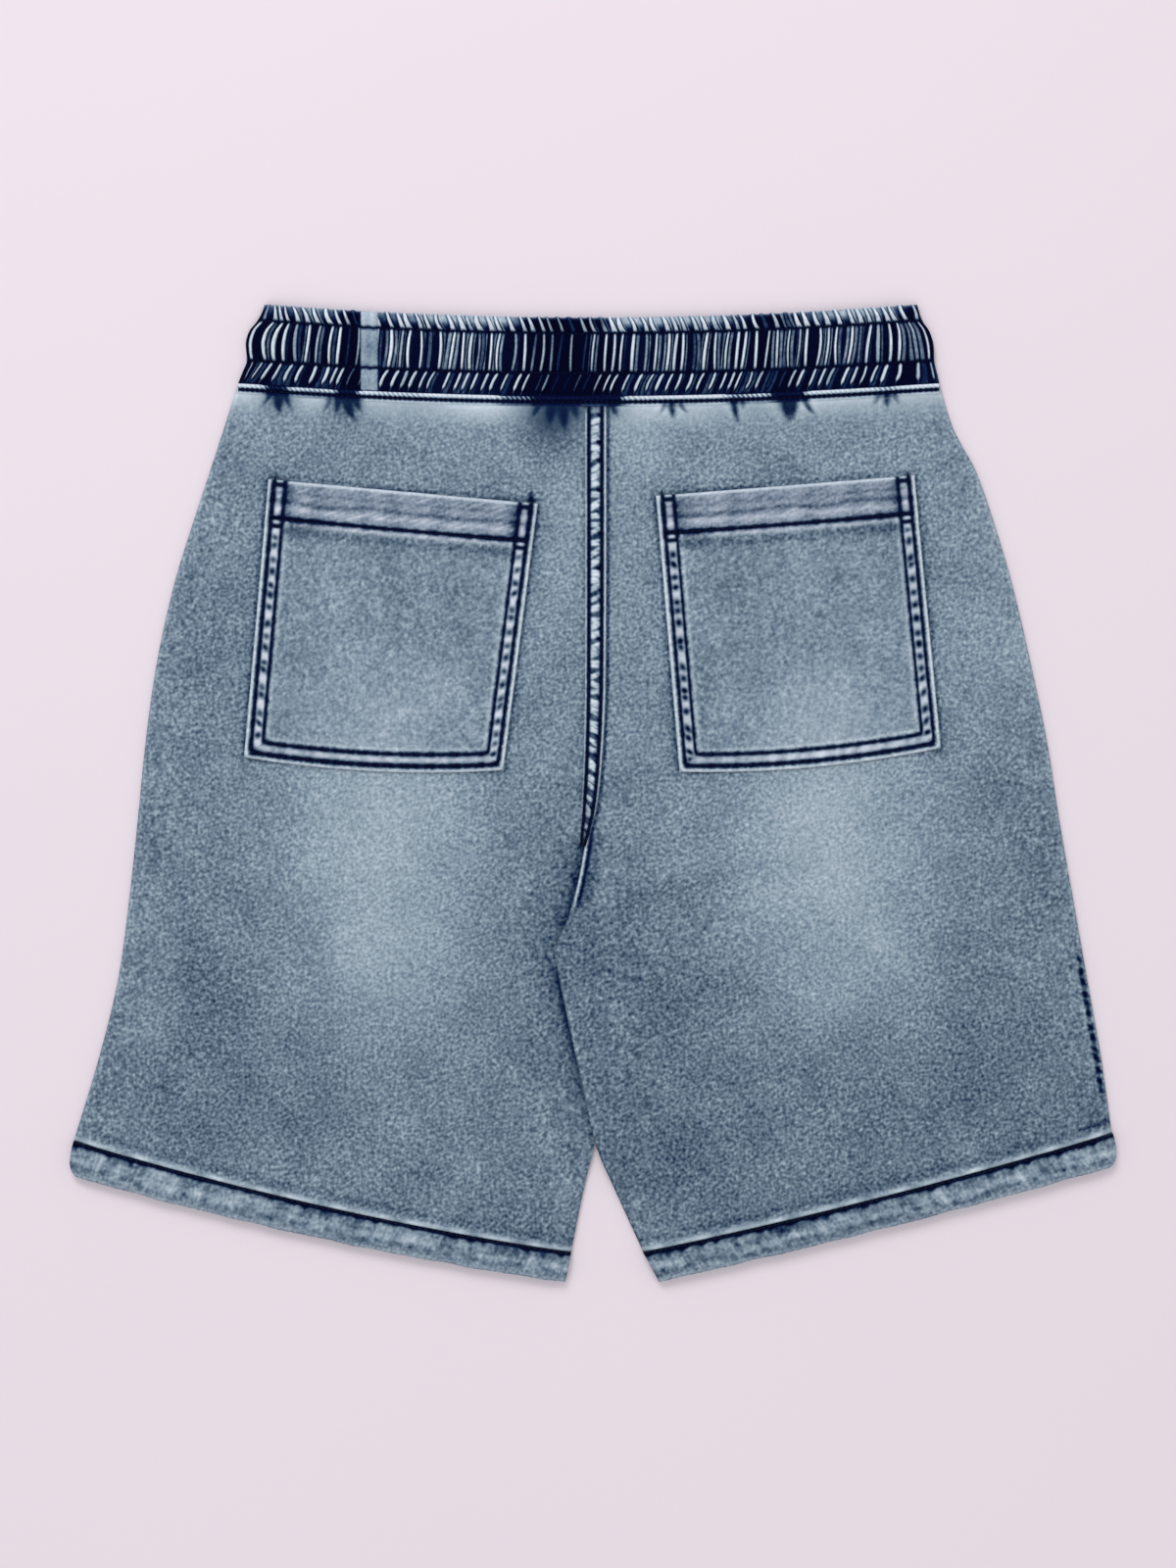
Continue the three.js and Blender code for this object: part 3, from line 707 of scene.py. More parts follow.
def make_front_panel(side):
    """A front panel. Its outer face lies on the surface, so the detail is tone alone."""
    u, v = np.meshgrid(steps(FRONT_STEPS[0], 0.4), steps(FRONT_STEPS[1], 0.2))
    x, y = panel_plan(side, u, v)
    width = np.abs(side_edge[side](y) - inner_edge[side](y))
    tone = wash_tone(x, y) + 14 * bell((1 - u) * width - 1.5, 2)
    tone += 22 * bell((1 - v) * PANEL_LENGTH - 2.5, 3) + 10 * bell(v * PANEL_LENGTH - 8, 8)
    z = overlap_lift(side, x, y)
    piece = shell(f"front_{side}_cloth", (x, y, z), coarse(z) + CLOTH, tone)
    return place(piece, denim("washed_denim"), "panel_denim", f"front_{side}")


def pocket_plan(side, u, v):
    """A pocket from above: u from its inner to its outer side and v down from its top,
    straight between its corners, the lower edge bowed by a parabola."""
    top, low = POCKETS[side]["top"], POCKETS[side]["low"]
    x = mix(mix(top["inner"][0], top["outer"][0], u), mix(low["inner"][0], low["outer"][0], u), v)
    y = mix(mix(top["inner"][1], top["outer"][1], u), mix(low["inner"][1], low["outer"][1], u), v)
    return x, y + POCKET_BOW * v * 4 * u * (1 - u)


def pocket_measures(side, u, v):
    """Distances on a pocket: in from the inner side, the outer side, the top and the foot."""
    top, low = POCKETS[side]["top"], POCKETS[side]["low"]
    width = mix(math.dist(top["inner"], top["outer"]), math.dist(low["inner"], low["outer"]), v)
    length = mix(math.dist(top["inner"], low["inner"]), math.dist(top["outer"], low["outer"]), u)
    return u * width, (1 - u) * width, v * length, (1 - v) * length


def pocket_surface(side, u, v):
    """Upper face of a pocket: the panel's height moved out, raised along the turned
    top, rolled at its edges, sunk along its stitched rows and puckered between them."""
    x, y = pocket_plan(side, u, v)
    inner, outer, down, up = pocket_measures(side, u, v)
    is_left = side == "left"
    seed = 3 if is_left else 6
    across = np.minimum(inner, outer)
    near, on_side = least_of(across, up, 0.9), across < up
    off_edge, off_inner, off_hem = near - POCKET_ROWS[0], near - POCKET_ROWS[1], down - POCKET_HEM
    middle = (off_edge + off_inner) / 2
    # Each edge reads its own stretch of the draw
    along = np.where(on_side, np.where(inner < outer, down, down + 331), x + 700)

    channel = ramp(off_edge, -0.2, 1.2) * ramp(off_inner, 0.2, -1.2)
    spot = puckers(along, middle, np.where(on_side, 6.6, 8.2), seed, 0.68, (0.22, 0.32))
    dimple = spot * bell(middle, np.where(on_side, 1.8, 2.4)) * ramp(down, 26, 4)
    inside_rows = ramp(off_inner, -1, 3)
    hem_part = ramp(down, POCKET_FOLD + 1.2, -1.6)
    fold = bell(down - POCKET_FOLD - 0.3, 1.2) * inside_rows
    thickness = CLOTH + 0.5 * hem_part + 0.25 * fold + 0.3 * channel - 0.4 * dimple
    thickness -= 0.4 * (bell(off_edge, 0.8) + bell(off_inner, 0.75))
    thickness -= 0.45 * bell(off_hem, 0.95) * ramp(off_edge, -1.5, 2)
    thickness += 0.3 * bell(near - 1.4, 1.0) + 0.2 * bell(down - 1.3, 1.1)
    thickness -= edge_round(np.minimum(near, down), 0.9, 0.85)
    z = back_top(side, x, y) + 0.15 + np.maximum(thickness, 0.25)

    turned = 10 + 13 * uneven(x, 21, seed) + 9.1 * uneven(x + 3 * down, 9, seed + 1)
    turned += 28 * bell(down - 15.0 - 0.6 * uneven(x, 31, seed), 1.5) - 20 * bell(down - 6.4, 1.0)
    turned += 20 * puckers(x + 2 * down, 0, 7.0, seed + 7) - 8
    turned -= 44 * bell(down - 11.3 - uneven(x, 60, seed), 1.2)
    # Painted shade below the turned top's fold, deepest towards one top corner.
    corner = bell(outer - POCKET_ROWS[1] - 6, 14) if is_left else bell(inner - POCKET_ROWS[1] - 5, 11)
    shade = 32 * bell(down - POCKET_FOLD - 3.8, 2.8) * (0.75 + 0.5 * bell(across - 14, 14))
    tone = wash_tone(x, y) - 3 + hem_part * turned
    tone -= (shade + 52 * corner * bell(off_hem - 2.0, 2.6)) * inside_rows
    tone += 50 * fold * (0.9 + 0.2 * uneven(x, 17, seed))
    worn = np.where(on_side, 78 if is_left else 62, 52)
    deep = np.where(on_side, 0.86 if is_left else 1.0, 0.16)
    tone += channel * (worn - 26 * hem_part) - 230 * dimple * deep
    tone += 32 * bell(off_inner - 2.3, 1.0) * (1 - hem_part) - 40 * bell(off_inner - 1.0, 3.4) * hem_part
    tone -= 22 * bell(off_edge + 1.2, 0.5)
    tone = mix(tone, WORN_EDGE + 8, 0.95 * bell(near - 0.95, 1.05))
    tone = mix(tone, WORN_EDGE, 0.92 * bell(down - 0.9, 1.0))
    line = 0.84 + 0.16 * uneven(along, 7, seed)
    broad = (1.14 if is_left else 0.94) + 0.2 * uneven(along, 13, seed + 2)
    broad = broad + np.where(on_side, 0.35 * hem_part, 0.45)
    tone = toned(tone, STITCHED, 1.3 * bell(off_edge / broad, 0.95) * line)
    tone = toned(tone, STITCHED, 1.2 * bell(off_inner / broad, 0.84) * line)
    thick = 1.0 + 0.4 * bell(off_inner, 26) + 0.25 * uneven(x, 9, seed)
    tone = toned(tone, STITCHED, 1.25 * bell(off_hem / thick, 1.0) * ramp(off_edge, -1.2, 1.5))
    between = smooth(off_edge + 0.9) * smooth(0.9 - off_inner) * on_side
    tone = toned(tone, INDIGO, 1.2 * between * sum(bell(down - tack, 1.15) for tack in POCKET_TACKS))
    knot = unit(between * bell(middle, 1.9) + 0.8 * bell(off_inner - 2.5, 1.2))
    tone = mix(tone, 216, 0.9 * knot * bell(off_hem - 2.1, 0.9))
    calm = np.clip(0.3 * hem_part + 0.5 * channel, 0, 0.6)
    blush = (0.12 + 0.55 * hem_part + 0.25 * channel) * (1 - 0.8 * bell(np.minimum(near, down) - 0.8, 1.5))
    return x, y, z, tone, calm, blush


def make_pocket(side, grain_turn):
    """A patch pocket with a turned and stitched top."""
    u, v = np.meshgrid(*(steps(count, 0.35) for count in POCKET_STEPS))
    x, y, z, *looks = pocket_surface(side, u, v)
    under = back_top(side, coarse(x), coarse(y)) + 0.1
    piece = shell(f"pocket_{side}_cloth", (x, y, z), under, *looks)
    material = denim(f"patched_denim_{side}", grain_turn, 0.85)
    return place(piece, material, "pocket_denim", f"pocket_{side}")


def fell_edges(y):
    """Where the centre seam's joint and its left and right edges are."""
    return inner_edge["right"](y), seam_edge["left"](y), seam_edge["right"](y)


def fell_surface(u, v):
    """Upper face of the felled centre seam: a strip over the joint of the back panels,
    with a roll along each edge, a groove at each stitched row and swells between
    them that slant more and more down the seam."""
    y = mix(SEAM_TOP, SEAM_FOOT, v)
    joint, left, right = fell_edges(y)
    x = np.where(u < 0.5, mix(left, joint, 2 * u), mix(joint, right, 2 * u - 1))
    from_left, from_right, from_band = x - left, right - x, SEAM_TOP - y
    first, second = (share * (right - left) for share in FELL_ROWS)
    middle = from_left - 0.5 * (first + second)
    rest = fell_rest(x, y, joint)
    rows = bell(from_left - first, 0.95) + bell(from_left - second, 1.05)
    channel = ramp(from_left, first, 0.8) * ramp(from_left, second, -0.8)
    lean = mix(0.1, -1.1, ramp(y, 100, -120))
    swell = puckers(y - lean * middle, middle, 5.0, 4, 0.72, (0.28, 0.46)) * channel
    notch = puckers(y + 31 + 0.8 * middle, middle, 5.1, 8, 0.3, (0.14, 0.26))
    notch = notch * bell(middle - 2.0, 1.5) * channel
    roll, thin = bell(from_right - 0.95, 0.8), bell(from_left - 0.55, 0.65)
    body = 0.75 + 0.5 * swell - 0.25 * notch + 0.5 * roll - 0.4 * rows
    z = rest + mix(0.45, body, ramp(from_band, 4.2, 2.0))
    z -= edge_round(np.minimum(from_left, from_right), 0.8, 0.7)
    grain = 1 + 0.08 * uneven(y, 2.3, 5) + 0.1 * uneven(y, 17, 2)
    tone = mix(76, 204, unit(2.6 * swell - 0.5)) * grain * channel + 90 * (1 - channel) - 120 * notch
    tone = mix(tone, 196, 0.95 * thin)
    tone = toned(tone, WORN_EDGE + 14, 1.1 * roll)
    tone = toned(tone, STITCHED, 1.25 * rows)
    tone = mix(tone, 34, 0.8 * ramp(from_band, 11, -7) * (1 - 0.5 * roll))
    return x, y, np.maximum(z, rest + 0.3), tone


def fell_rest(x, y, joint):
    """Height that the centre seam lies at: the panel on its own side of the joint, and
    the higher of the two where they meet."""
    left, right = back_top("left", np.minimum(x, joint), y), back_top("right", np.maximum(x, joint), y)
    near = bell(x - joint, 1.0)
    own = np.where(x < joint, left, right)
    return mix(own, np.maximum(left, right), near) + 0.2


def make_centre_seam():
    """The felled seam down the middle of the back."""
    x, y, z, tone = fell_surface(*np.meshgrid(*map(steps, SEAM_STEPS)))
    under = fell_rest(coarse(x), coarse(y), inner_edge["right"](coarse(y))) - 0.1
    piece = shell("centre_seam_cloth", (x, y, z), under, tone)
    return place(piece, denim("felled_denim", mottle=0.7), "seam_denim", "centre_back_seam")


def hem_plan(side, u, w):
    """A hem from above: u along it from the inside leg, w from its stitched line to its fold."""
    sx, sy = hem_line(HEMS[side]["stitched"], u)
    fx, fy = hem_line(HEMS[side]["folded"], u)
    corner = ramp(u, 0.984, 0.016) * unit((w - 0.4) / 0.6) ** 3
    outward = -1 if side == "left" else 1
    wavy = 0.35 * uneven(fx, 33, 3) + 0.14 * uneven(fx, 4.3, 7)
    x = mix(sx, fx, w) + outward * (0.6 * np.sin(np.pi * w) * ramp(u, 0.99, 0.01) - 1.5 * corner)
    return x, mix(sy, fy, w) + wavy * w**4 + 0.7 * corner


def hem_under(side, u):
    """Underside of a back hem: it stands off the front one between its folded ends."""
    folded = HEMS[side]["folded"]
    width = abs(folded["outer"][0] - folded["inner"][0])
    shoulder = (1 - np.exp(-u * width / EDGE_ROUNDING)) * (1 - np.exp(-(1 - u) * width / EDGE_ROUNDING))
    return HEM_FRONT + SEAM_GAP + HEM_BILLOW * shoulder


def hem_tone(side, u, w):
    """(tone, swells) of a hem: a heavy knotted line of stitching at the top, slanting
    swells and stains below it, a broken dark streak and a pale folded edge."""
    x, _ = hem_plan(side, u, w)
    y = hem_line(HEMS[side]["stitched"], u)[1]
    down = w * HEM_DEPTH
    seed, slant = (2, 0.5) if side == "left" else (9, -0.5)
    lean = x + slant * down
    swell = puckers(lean, 0, 6.3, seed) * ramp(down, 1.2, 2) * ramp(down, 16.8, -5)
    fine = puckers(1.3 * lean + 400, down - 8, 3.1, seed + 1) * ramp(down, 1, 2)
    block = puckers(lean + 150, 0, 12.5, seed + 8) * ramp(down, 2, 3) * ramp(down, 14.5, -4)
    broken = puckers(x + 200, 0, 9.0, seed + 2) * bell(down - 11.6 - 0.8 * uneven(x, 60, seed), 1.2)
    smoke = uneven(x + 9 * down, 90, seed + 6) + 0.6 * uneven(x - 5 * down, 37, seed + 7)
    tone = wash_tone(x, y) - 2 + 18 * swell + 20 * fine + 14 * smoke + 34 * block - 58 * broken
    tone = mix(tone + 12 * bell(down - 8.8, 1.3), 172, 0.6 * bell(down - 16.0, 1.2))
    stain = smooth(uneven(x, 53, seed + 3) * 1.6 - 0.25) * bell(down - 3.0, 2.8)
    spots = puckers(lean + 61, 0, 24.0, seed + 9, 0.1, (0.08, 0.13)) * ramp(down, 12, -8)
    tone -= 42 * stain + 46 * spots
    knots = puckers(x + 90, 0, 9.5, seed + 5, 0.05, (0.13, 0.27))
    thick = 1.0 + 1.7 * knots + 0.25 * uneven(x, 71, seed + 4)
    tone = toned(tone, INDIGO - 12, 1.35 * bell((down - 0.75) / thick, 1.0))
    return tone, 0.35 * swell + 0.15 * fine


def hem_ends(u):
    """How far a hem turns down at its two ends."""
    return edge_round(np.minimum(u, 1 - u) * HEM_WIDTH, 1.4, 1.2)


def make_back_hem(side):
    """The back half of a leg hem: cloth turned twice, rounded at its fold and roped."""
    u, w = np.meshgrid(steps(BACK_HEM_STEPS[0], 0.1), steps(BACK_HEM_STEPS[1]))
    x, y = hem_plan(side, u, w)
    tone, swells = hem_tone(side, u, w)
    body = HEM_FOLD * np.sqrt(1 - 0.85 * unit(2 * w - 1) ** 4)
    groove = 0.2 + 0.7 * bell(w * HEM_DEPTH - 0.4, 1.1)
    z = hem_under(side, u) + body + swells - groove - hem_ends(u)
    piece = shell(f"hem_back_{side}_cloth", (x, y, z), coarse(hem_under(side, u)), tone, 0.05, 0.12)
    return place(piece, denim("turned_denim", mottle=0.8), "hem_denim", f"hem_back_{side}")


def make_front_hem(side):
    """The front half of a leg hem, flat on the surface."""
    u, w = np.meshgrid(steps(FRONT_HEM_STEPS[0], 0.1), steps(FRONT_HEM_STEPS[1]))
    x, y = hem_plan(side, u, w)
    tone = hem_tone(side, u, w)[0]
    piece = shell(f"hem_front_{side}_cloth", (x, y, 0 * x), coarse(0 * x) + HEM_FRONT, tone)
    return place(piece, denim("turned_denim", mottle=0.8), "hem_denim", f"hem_front_{side}")


def gather_grid(count):
    """For even steps along the band: the gather's number, the place within it from -0.5
    to 0.5, and its pitch in millimetres. The pitch is uneven, as elastic leaves it."""
    i = np.arange(GATHERS)
    pitch = 1 + 0.24 * np.sin(2.1 * i) + 0.16 * np.sin(5.3 * i + 1)
    edges = np.concatenate([[0], np.cumsum(pitch)]) / pitch.sum()
    number = np.interp(steps(count), edges, np.arange(GATHERS + 1))
    whole = np.clip(np.floor(number).astype(int), 0, GATHERS - 1)
    length = BAND_MIDDLE["right"] - BAND_MIDDLE["left"]
    return whole, number - whole - 0.5, (pitch * length / pitch.sum())[whole]


def band_plan(s, down):
    """The band from above: s from its left to its right end, down from its top edge.
    Gathers lean one way above a stitched row and the other way below it. Its bowed
    ends bend the gathers for END_REACH, fading as an S curve."""
    left, right = BAND_MIDDLE["left"], BAND_MIDDLE["right"]
    from_left, from_right = s * (right - left), (1 - s) * (right - left)
    x = mix(left, right, s)
    x += (band["left"](down) - left) * smooth(1 - from_left / END_REACH)
    x += (band["right"](down) - right) * smooth(1 - from_right / END_REACH)
    lean = np.interp(down, GATHER_LEAN["down"], GATHER_LEAN["lean"])
    x += lean * smooth(np.minimum(from_left, from_right) / SLANT_FADE)
    return x, band_y(down, x)


def band_part(depth, s, t):
    """The band's plan with its depth as shares from 0 to 1."""
    return band_plan(s, t * depth)


def band_darkness(x):
    """How dark the dye kept along the band, from about -0.7 to 1.2."""
    return sum(row["dark"] * bell(x - row["x"], row["half"]) for row in rows_of(BAND_ZONES))


def band_surface(count, downs):
    """Upper face of the gathered band and of the corded seam at its foot. Each gather has
    a narrow worn crest with its own height, breadth and tone in every channel; it is
    broadest mid-channel, and the stitched rows pinch it shut."""
    s, down = np.meshgrid(steps(count), downs)
    x, y = band_plan(s, down)
    number, place_in, pitch = gather_grid(count)
    tops = np.array([0, *BAND_STITCHES, BAND_FOOT])
    tier = np.searchsorted(BAND_STITCHES, down)
    in_tier = unit((down - tops[tier]) / np.diff(tops)[tier])
    bulge = np.sin(np.pi * in_tier)

    def by_tier(*values):
        return np.choose(tier, values)

    chance = np.random.default_rng(11).random((7, 3, GATHERS))
    chance[0] = (0.618 * np.arange(GATHERS) + 0.3 * chance[0] + np.array([[0], [0.4], [0.7]])) % 1
    height, breadth, shift, grey, worn, bend, tilt = (c[tier, number] for c in chance)
    dark = np.clip(band_darkness(x), -0.8, 1.5)
    ease = PLAIN_PATCH["ease"]
    plain = ramp(x, PLAIN_PATCH["low"], ease) * ramp(x, PLAIN_PATCH["high"], -ease)
    from_end = np.minimum(s, 1 - s) * (BAND_MIDDLE["right"] - BAND_MIDDLE["left"])
    phase = place_in + 0.24 * (shift - 0.5) + 0.3 * (bend - 0.5) * bulge
    phase = phase + 0.42 * (tilt - 0.5) * (in_tier - 0.5) * (tier == 1)
    pinched = 0.76 * ramp(in_tier, 0, 0.13) * ramp(in_tier, 0.88, -0.2) * mix(0.5, 1.0, ramp(from_end, 0, 18))
    half = by_tier(mix(0.65, 1.35, in_tier), mix(0.64, 0.8, bulge), pinched)
    half = half * mix(0.75, 1.2, breadth) * (1 - 0.3 * unit(dark)) / pitch
    off_crest = (np.abs(phase) - half) * pitch
    present = height - by_tier(-0.1, -0.02, -0.1) - by_tier(0.4, 0.36, 0.5) * np.clip(dark, 0, 1.5)
    crest = smooth(0.5 - off_crest / 0.45) * mix(0.3, 1.0, ramp(present, 0, 0.25)) * (1 - plain)
    # A side fold beside most crests: a low pleat raised in the shape, whose mid-grey tone is painted shade of
    # the crest's slope.
    beside = np.where(grey > 0.7, off_crest, (phase - half) * pitch)
    side_fold = ramp(beside, 0.5, 0.5) * ramp(np.abs(phase), 0.48, -0.08) * (1 - plain)
    side_fold = side_fold * ramp(grey - 0.5 * dark, 0.22, 0.3) * by_tier(1.0, 1.0, 0.45)

    level = BAND_BASE + SEAM_GAP
    swell = band["wave"](down) * (mix(0.72, 1.0, height) * crest + 0.4 * side_fold + 0.2 * plain)
    shoulder = smooth(BAND_END["edge"] + (1 - BAND_END["edge"]) * from_end / BAND_END["rounding"])
    row_pinch = sum(bell(down - row, 0.8) for row in BAND_STITCHES)
    z = level + (band["base"](down) + swell - 0.35 * row_pinch - level) * shoulder
    z -= edge_round(down, 1.6, 1.2) * shoulder
    y = y + (0.8 * bell(phase, 0.25) - 0.3) * bell(down, 1.8) * shoulder * (1 - plain)

    streak = 0.1 * uneven(phase * pitch + 7 * number, 3.6, 6) + 0.16 * uneven(down + 13 * number, 14, 4)
    # The side fold's mid grey is painted shade of the crest's slope.
    fold_tone = (mix(68, 134, grey) + 50 * unit(-dark)) * (1 + streak) * (1 - 0.3 * np.abs(in_tier - 0.5))
    tone = mix(mix(20, 0, unit(0.5 + 0.5 * dark)), fold_tone, side_fold)
    top_wash = (tier == 0) * unit(0.35 - 1.5 * dark) * ramp(in_tier, 0.85, -0.6) * (1 - plain)
    tone = mix(tone, 200, 0.9 * top_wash * (1 - 0.6 * bell(off_crest - 0.5, 0.4)))
    dulled = by_tier(60, 62, 110) * unit(dark - 0.2) + 22 * (1 - worn)
    tone = mix(tone, by_tier(234, 228, 214) - dulled, crest)
    # Painted shade: a soft darker stripe down the middle of the plain patch's middle tier.
    patch_shade = 36 * bell(down - 19, 6) * bell(x + 117, 3.5)
    tone = mix(tone, by_tier(186, 166, 156) + 8 * uneven(x, 5, 3) - patch_shade, plain)
    tone = mix(tone, 176, 0.5 * bell(down, 1.1))
    for row in BAND_STITCHES:
        tone = mix(tone, INDIGO - 10, bell(down - row - 0.8 * (np.abs(phase) - 0.25), 0.85))
    return (x, y, *lip_over(x, down, z, tone))


def lip_rest(x, y):
    """Height that the corded seam lies at: just over the panels and the centre seam."""
    side_of = x < inner_edge["right"](y)
    panel = np.where(side_of, back_top("left", x, y), back_top("right", x, y))
    return panel + 0.95 * ramp(np.abs(x - 1.5), 9, -3.5)


def lip_over(x, down, z, tone):
    """(height, tone) of the band with the corded seam worked in at its foot: a half-round
    roll with slanting pinches, then a row of stitching, then a flat edge."""
    on_lip = ramp(down, BAND_FOOT - 0.6, 0.9)
    hidden = sum(
        row["amount"] * ramp(x, row["low"] - 4.5, 9) * ramp(x, row["high"] + 4.5, -9)
        for row in rows_of(CORD_HIDDEN)
    )
    turned_in = unit(hidden)
    middle, half = BAND_FOOT + 1.6, 1.35 - 0.5 * turned_in
    roll = np.sqrt(unit(1 - ((down - middle) / half) ** 2))
    rolled = smooth(roll * 2.2)
    pinch = 0.5 + 0.5 * np.sin(2 * np.pi * (x - 0.8 * down) / 2.6 + 0.9 * uneven(x, 23, 3))
    row = bell(down - LIP_ROW, 0.93)
    lip_z = lip_rest(x, band_y(down, x)) + 0.3 + (0.9 + 0.15 * pinch) * roll - 0.15 * row
    lip_z -= 0.2 * ramp(down, BAND_FOOT + LIP - 0.8, 0.8)
    cord_tone = mix(WORN_EDGE + 22, 40, ramp(hidden, 0.42, 0.5))
    cord_tone = cord_tone - pinch * (24 + 46 * smooth(0.3 + uneven(x, 61, 9)) + 130 * turned_in)
    lip_tone = mix(INDIGO + 4, np.maximum(cord_tone, 24), rolled)
    panel_tone = wash_tone(x, band_y(down, x)) + 62 * unit(1 - 1.4 * hidden) - 50 * turned_in
    panel_tone = np.maximum(panel_tone - 1.1 * waist_creases(x, np.full_like(x, LIP))[1], 36)
    lip_tone = np.where(down > middle, mix(panel_tone, lip_tone, rolled), lip_tone)
    dash = 0.72 + 0.4 * smooth(0.7 + np.sin(2 * np.pi * x / 2.7 + uneven(x, 19, 2)))
    lip_tone = toned(lip_tone, INDIGO - 14, 1.4 * row * dash)
    return mix(z, lip_z, on_lip), mix(tone, lip_tone, on_lip)


def make_back_band():
    """The gathered back half of the waistband, with the corded seam at its foot."""
    first, second = BAND_STITCHES
    ends = (0, first - 1, first + 1, second - 1, second + 1, BAND_FOOT - 0.6, BAND_FOOT + LIP)
    downs = runs(*zip(ends[:-1], ends[1:], (12, 6, 20, 6, 14, 18)))
    x, y, z, tone = band_surface(BACK_BAND_STEPS, downs)
    over_panel = ramp(downs[::RIM_STEP, None], BAND_FOOT + 0.1, 0.9)
    under = mix(BAND_BASE + SEAM_GAP, lip_rest(coarse(x), coarse(y)) + 0.02, over_panel)
    under = np.minimum(under, coarse(z) - 0.1)
    cool = 1 - 0.85 * ramp(tone, 110, 60)
    piece = shell("waistband_back_cloth", (x, y, z), under, tone, blush=cool)
    return place(piece, band_denim(), "band_denim", "waistband_back")


def make_front_band():
    """The hidden front half of the waistband, flat on the surface."""
    across, downward = FRONT_BAND_STEPS
    s, down = np.meshgrid(steps(across), steps(downward) * BAND_FOOT)
    x, y = band_plan(s, down)
    tone = mix(38, 178, bell(gather_grid(across)[1], 0.17)) + 0 * s
    for row in BAND_STITCHES:
        tone = mix(tone, 22, 0.9 * bell(down - row, 0.8))
    piece = shell("waistband_front_cloth", (x, y, 0 * x), coarse(0 * x) + BAND_BASE, tone)
    return place(piece, band_denim(), "band_denim", "waistband_front")


def stitch_faces():
    """The triangles of one stitch: five rings of six points, then a point at each end."""
    ids = np.arange(30).reshape(5, 6)
    beside = np.roll(ids, -1, axis=1)
    a, b, c, d = ids[:-1], beside[:-1], beside[1:], ids[1:]
    start, finish = np.full(6, 30), np.full(6, 31)
    sides = [(a, b, c), (a, c, d), (start, beside[0], ids[0]), (finish, ids[-1], beside[-1])]
    return np.concatenate([np.stack(corners, -1).reshape(-1, 3) for corners in sides])


def stitch_mesh(name, paths, thickness=1.0, length=0.0, gap=0.0):
    """Rows of stitches joined in one mesh. Each stitch is a six-sided spindle lying along
    its path: its radius times sqrt(1 - 0.9 q^2) at q from -1 to 1 along it, its ends
    dipping into the cloth. A length or gap of 0 takes the one that is set."""
    sewing = bpy.context.scene.shorts.sewing
    length, gap = length or sewing.length / MM, gap or sewing.gap / MM
    radius = thickness * sewing.radius / MM
    q = np.array([-1.0, -0.55, 0.0, 0.55, 1.0])
    turn = np.arange(6)[:, None] * np.pi / 3
    swell = radius * np.sqrt(1 - 0.9 * q * q)[:, None, None]
    dip = (STITCH_SINK + 0.5 * radius * q**2)[:, None] * np.array([0, 0, 1.0])
    stitches = []
    for path in paths:
        run = np.concatenate([[0], np.cumsum(np.linalg.norm(np.diff(path, axis=0), axis=1))])
        number = max(1, int(run[-1] / (length + gap)))
        pitch = run[-1] / number
        centre = (np.arange(number) + 0.5) * pitch
        half = 0.5 * length * pitch / (length + gap)

        def at(where):
            return np.stack([np.interp(where, run, axis) for axis in path.T], -1)

        ahead = at(centre + half) - at(centre - half)
        ahead /= np.linalg.norm(ahead, axis=1, keepdims=True)
        across = np.cross([0, 0, 1.0], ahead)
        across /= np.linalg.norm(across, axis=1, keepdims=True)
        up = np.cross(ahead, across)
        ring = np.cos(turn) * across[:, None, None] + np.sin(turn) * up[:, None, None]
        spine = at(centre[:, None] + half * q) - dip
        body = (spine[:, :, None] + swell * ring).reshape(number, 30, 3)
        stitches.append(np.concatenate([body, spine[:, [0, -1]]], axis=1))
    points = np.concatenate(stitches).reshape(-1, 3)
    faces = (stitch_faces() + 32 * np.arange(len(points) // 32)[:, None, None]).reshape(-1, 3)
    return place(mesh_object(name, points, outward(points, faces)), thread(), "seam_denim")


def pocket_row(side, ends):
    """A path on a pocket's face through points given as (u, v) shares."""
    t = np.arange(120 * (len(ends) - 1) + 1) / 120
    u, v = (np.interp(t, range(len(ends)), shares) for shares in zip(*ends))
    x, y, z = pocket_surface(side, u, v)[:3]
    return np.stack([x, y, z + STITCH_RISE], -1)


def make_pocket_stitching(side):
    """The two rows round a pocket, the row under its turned top, its four tacks and the
    thread ends that stand up past its top corners."""
    top, low = POCKETS[side]["top"], POCKETS[side]["low"]
    wide, wide_low = math.dist(top["inner"], top["outer"]), math.dist(low["inner"], low["outer"])
    tall = math.dist(top["inner"], low["inner"])
    first, second = (row / wide for row in POCKET_ROWS)
    rows = [[(first, POCKET_HEM / tall), (1 - first, POCKET_HEM / tall)]]
    for row in POCKET_ROWS:
        u_top, u_low, v_low = row / wide, row / wide_low, 1 - row / tall
        rows.append([(u_top, 1.0 / tall), (u_low, v_low), (1 - u_low, v_low), (1 - u_top, 1.0 / tall)])
    for tack in POCKET_TACKS:
        rows.append([(first, tack / tall), (second, tack / tall)])
        rows.append([(1 - second, tack / tall), (1 - first, tack / tall)])
    for u in (first, 1 - first):
        rows.append([(u, 1.2 / tall), (u, -2.2 / tall)])
    return stitch_mesh(f"pocket_{side}_stitching", [pocket_row(side, row) for row in rows])


def fell_row(share):
    """A path down the centre seam at one share of its width."""
    y = np.linspace(SEAM_TOP - 1, SEAM_FOOT + 2, 500)
    joint, left, right = fell_edges(y)
    x = mix(left, right, share)
    u = np.where(x < joint, 0.5 * (x - left) / (joint - left), 0.5 + 0.5 * (x - joint) / (right - joint))
    x, y, z, _ = fell_surface(u, (SEAM_TOP - y) / (SEAM_TOP - SEAM_FOOT))
    return np.stack([x, y, z + STITCH_RISE], -1)


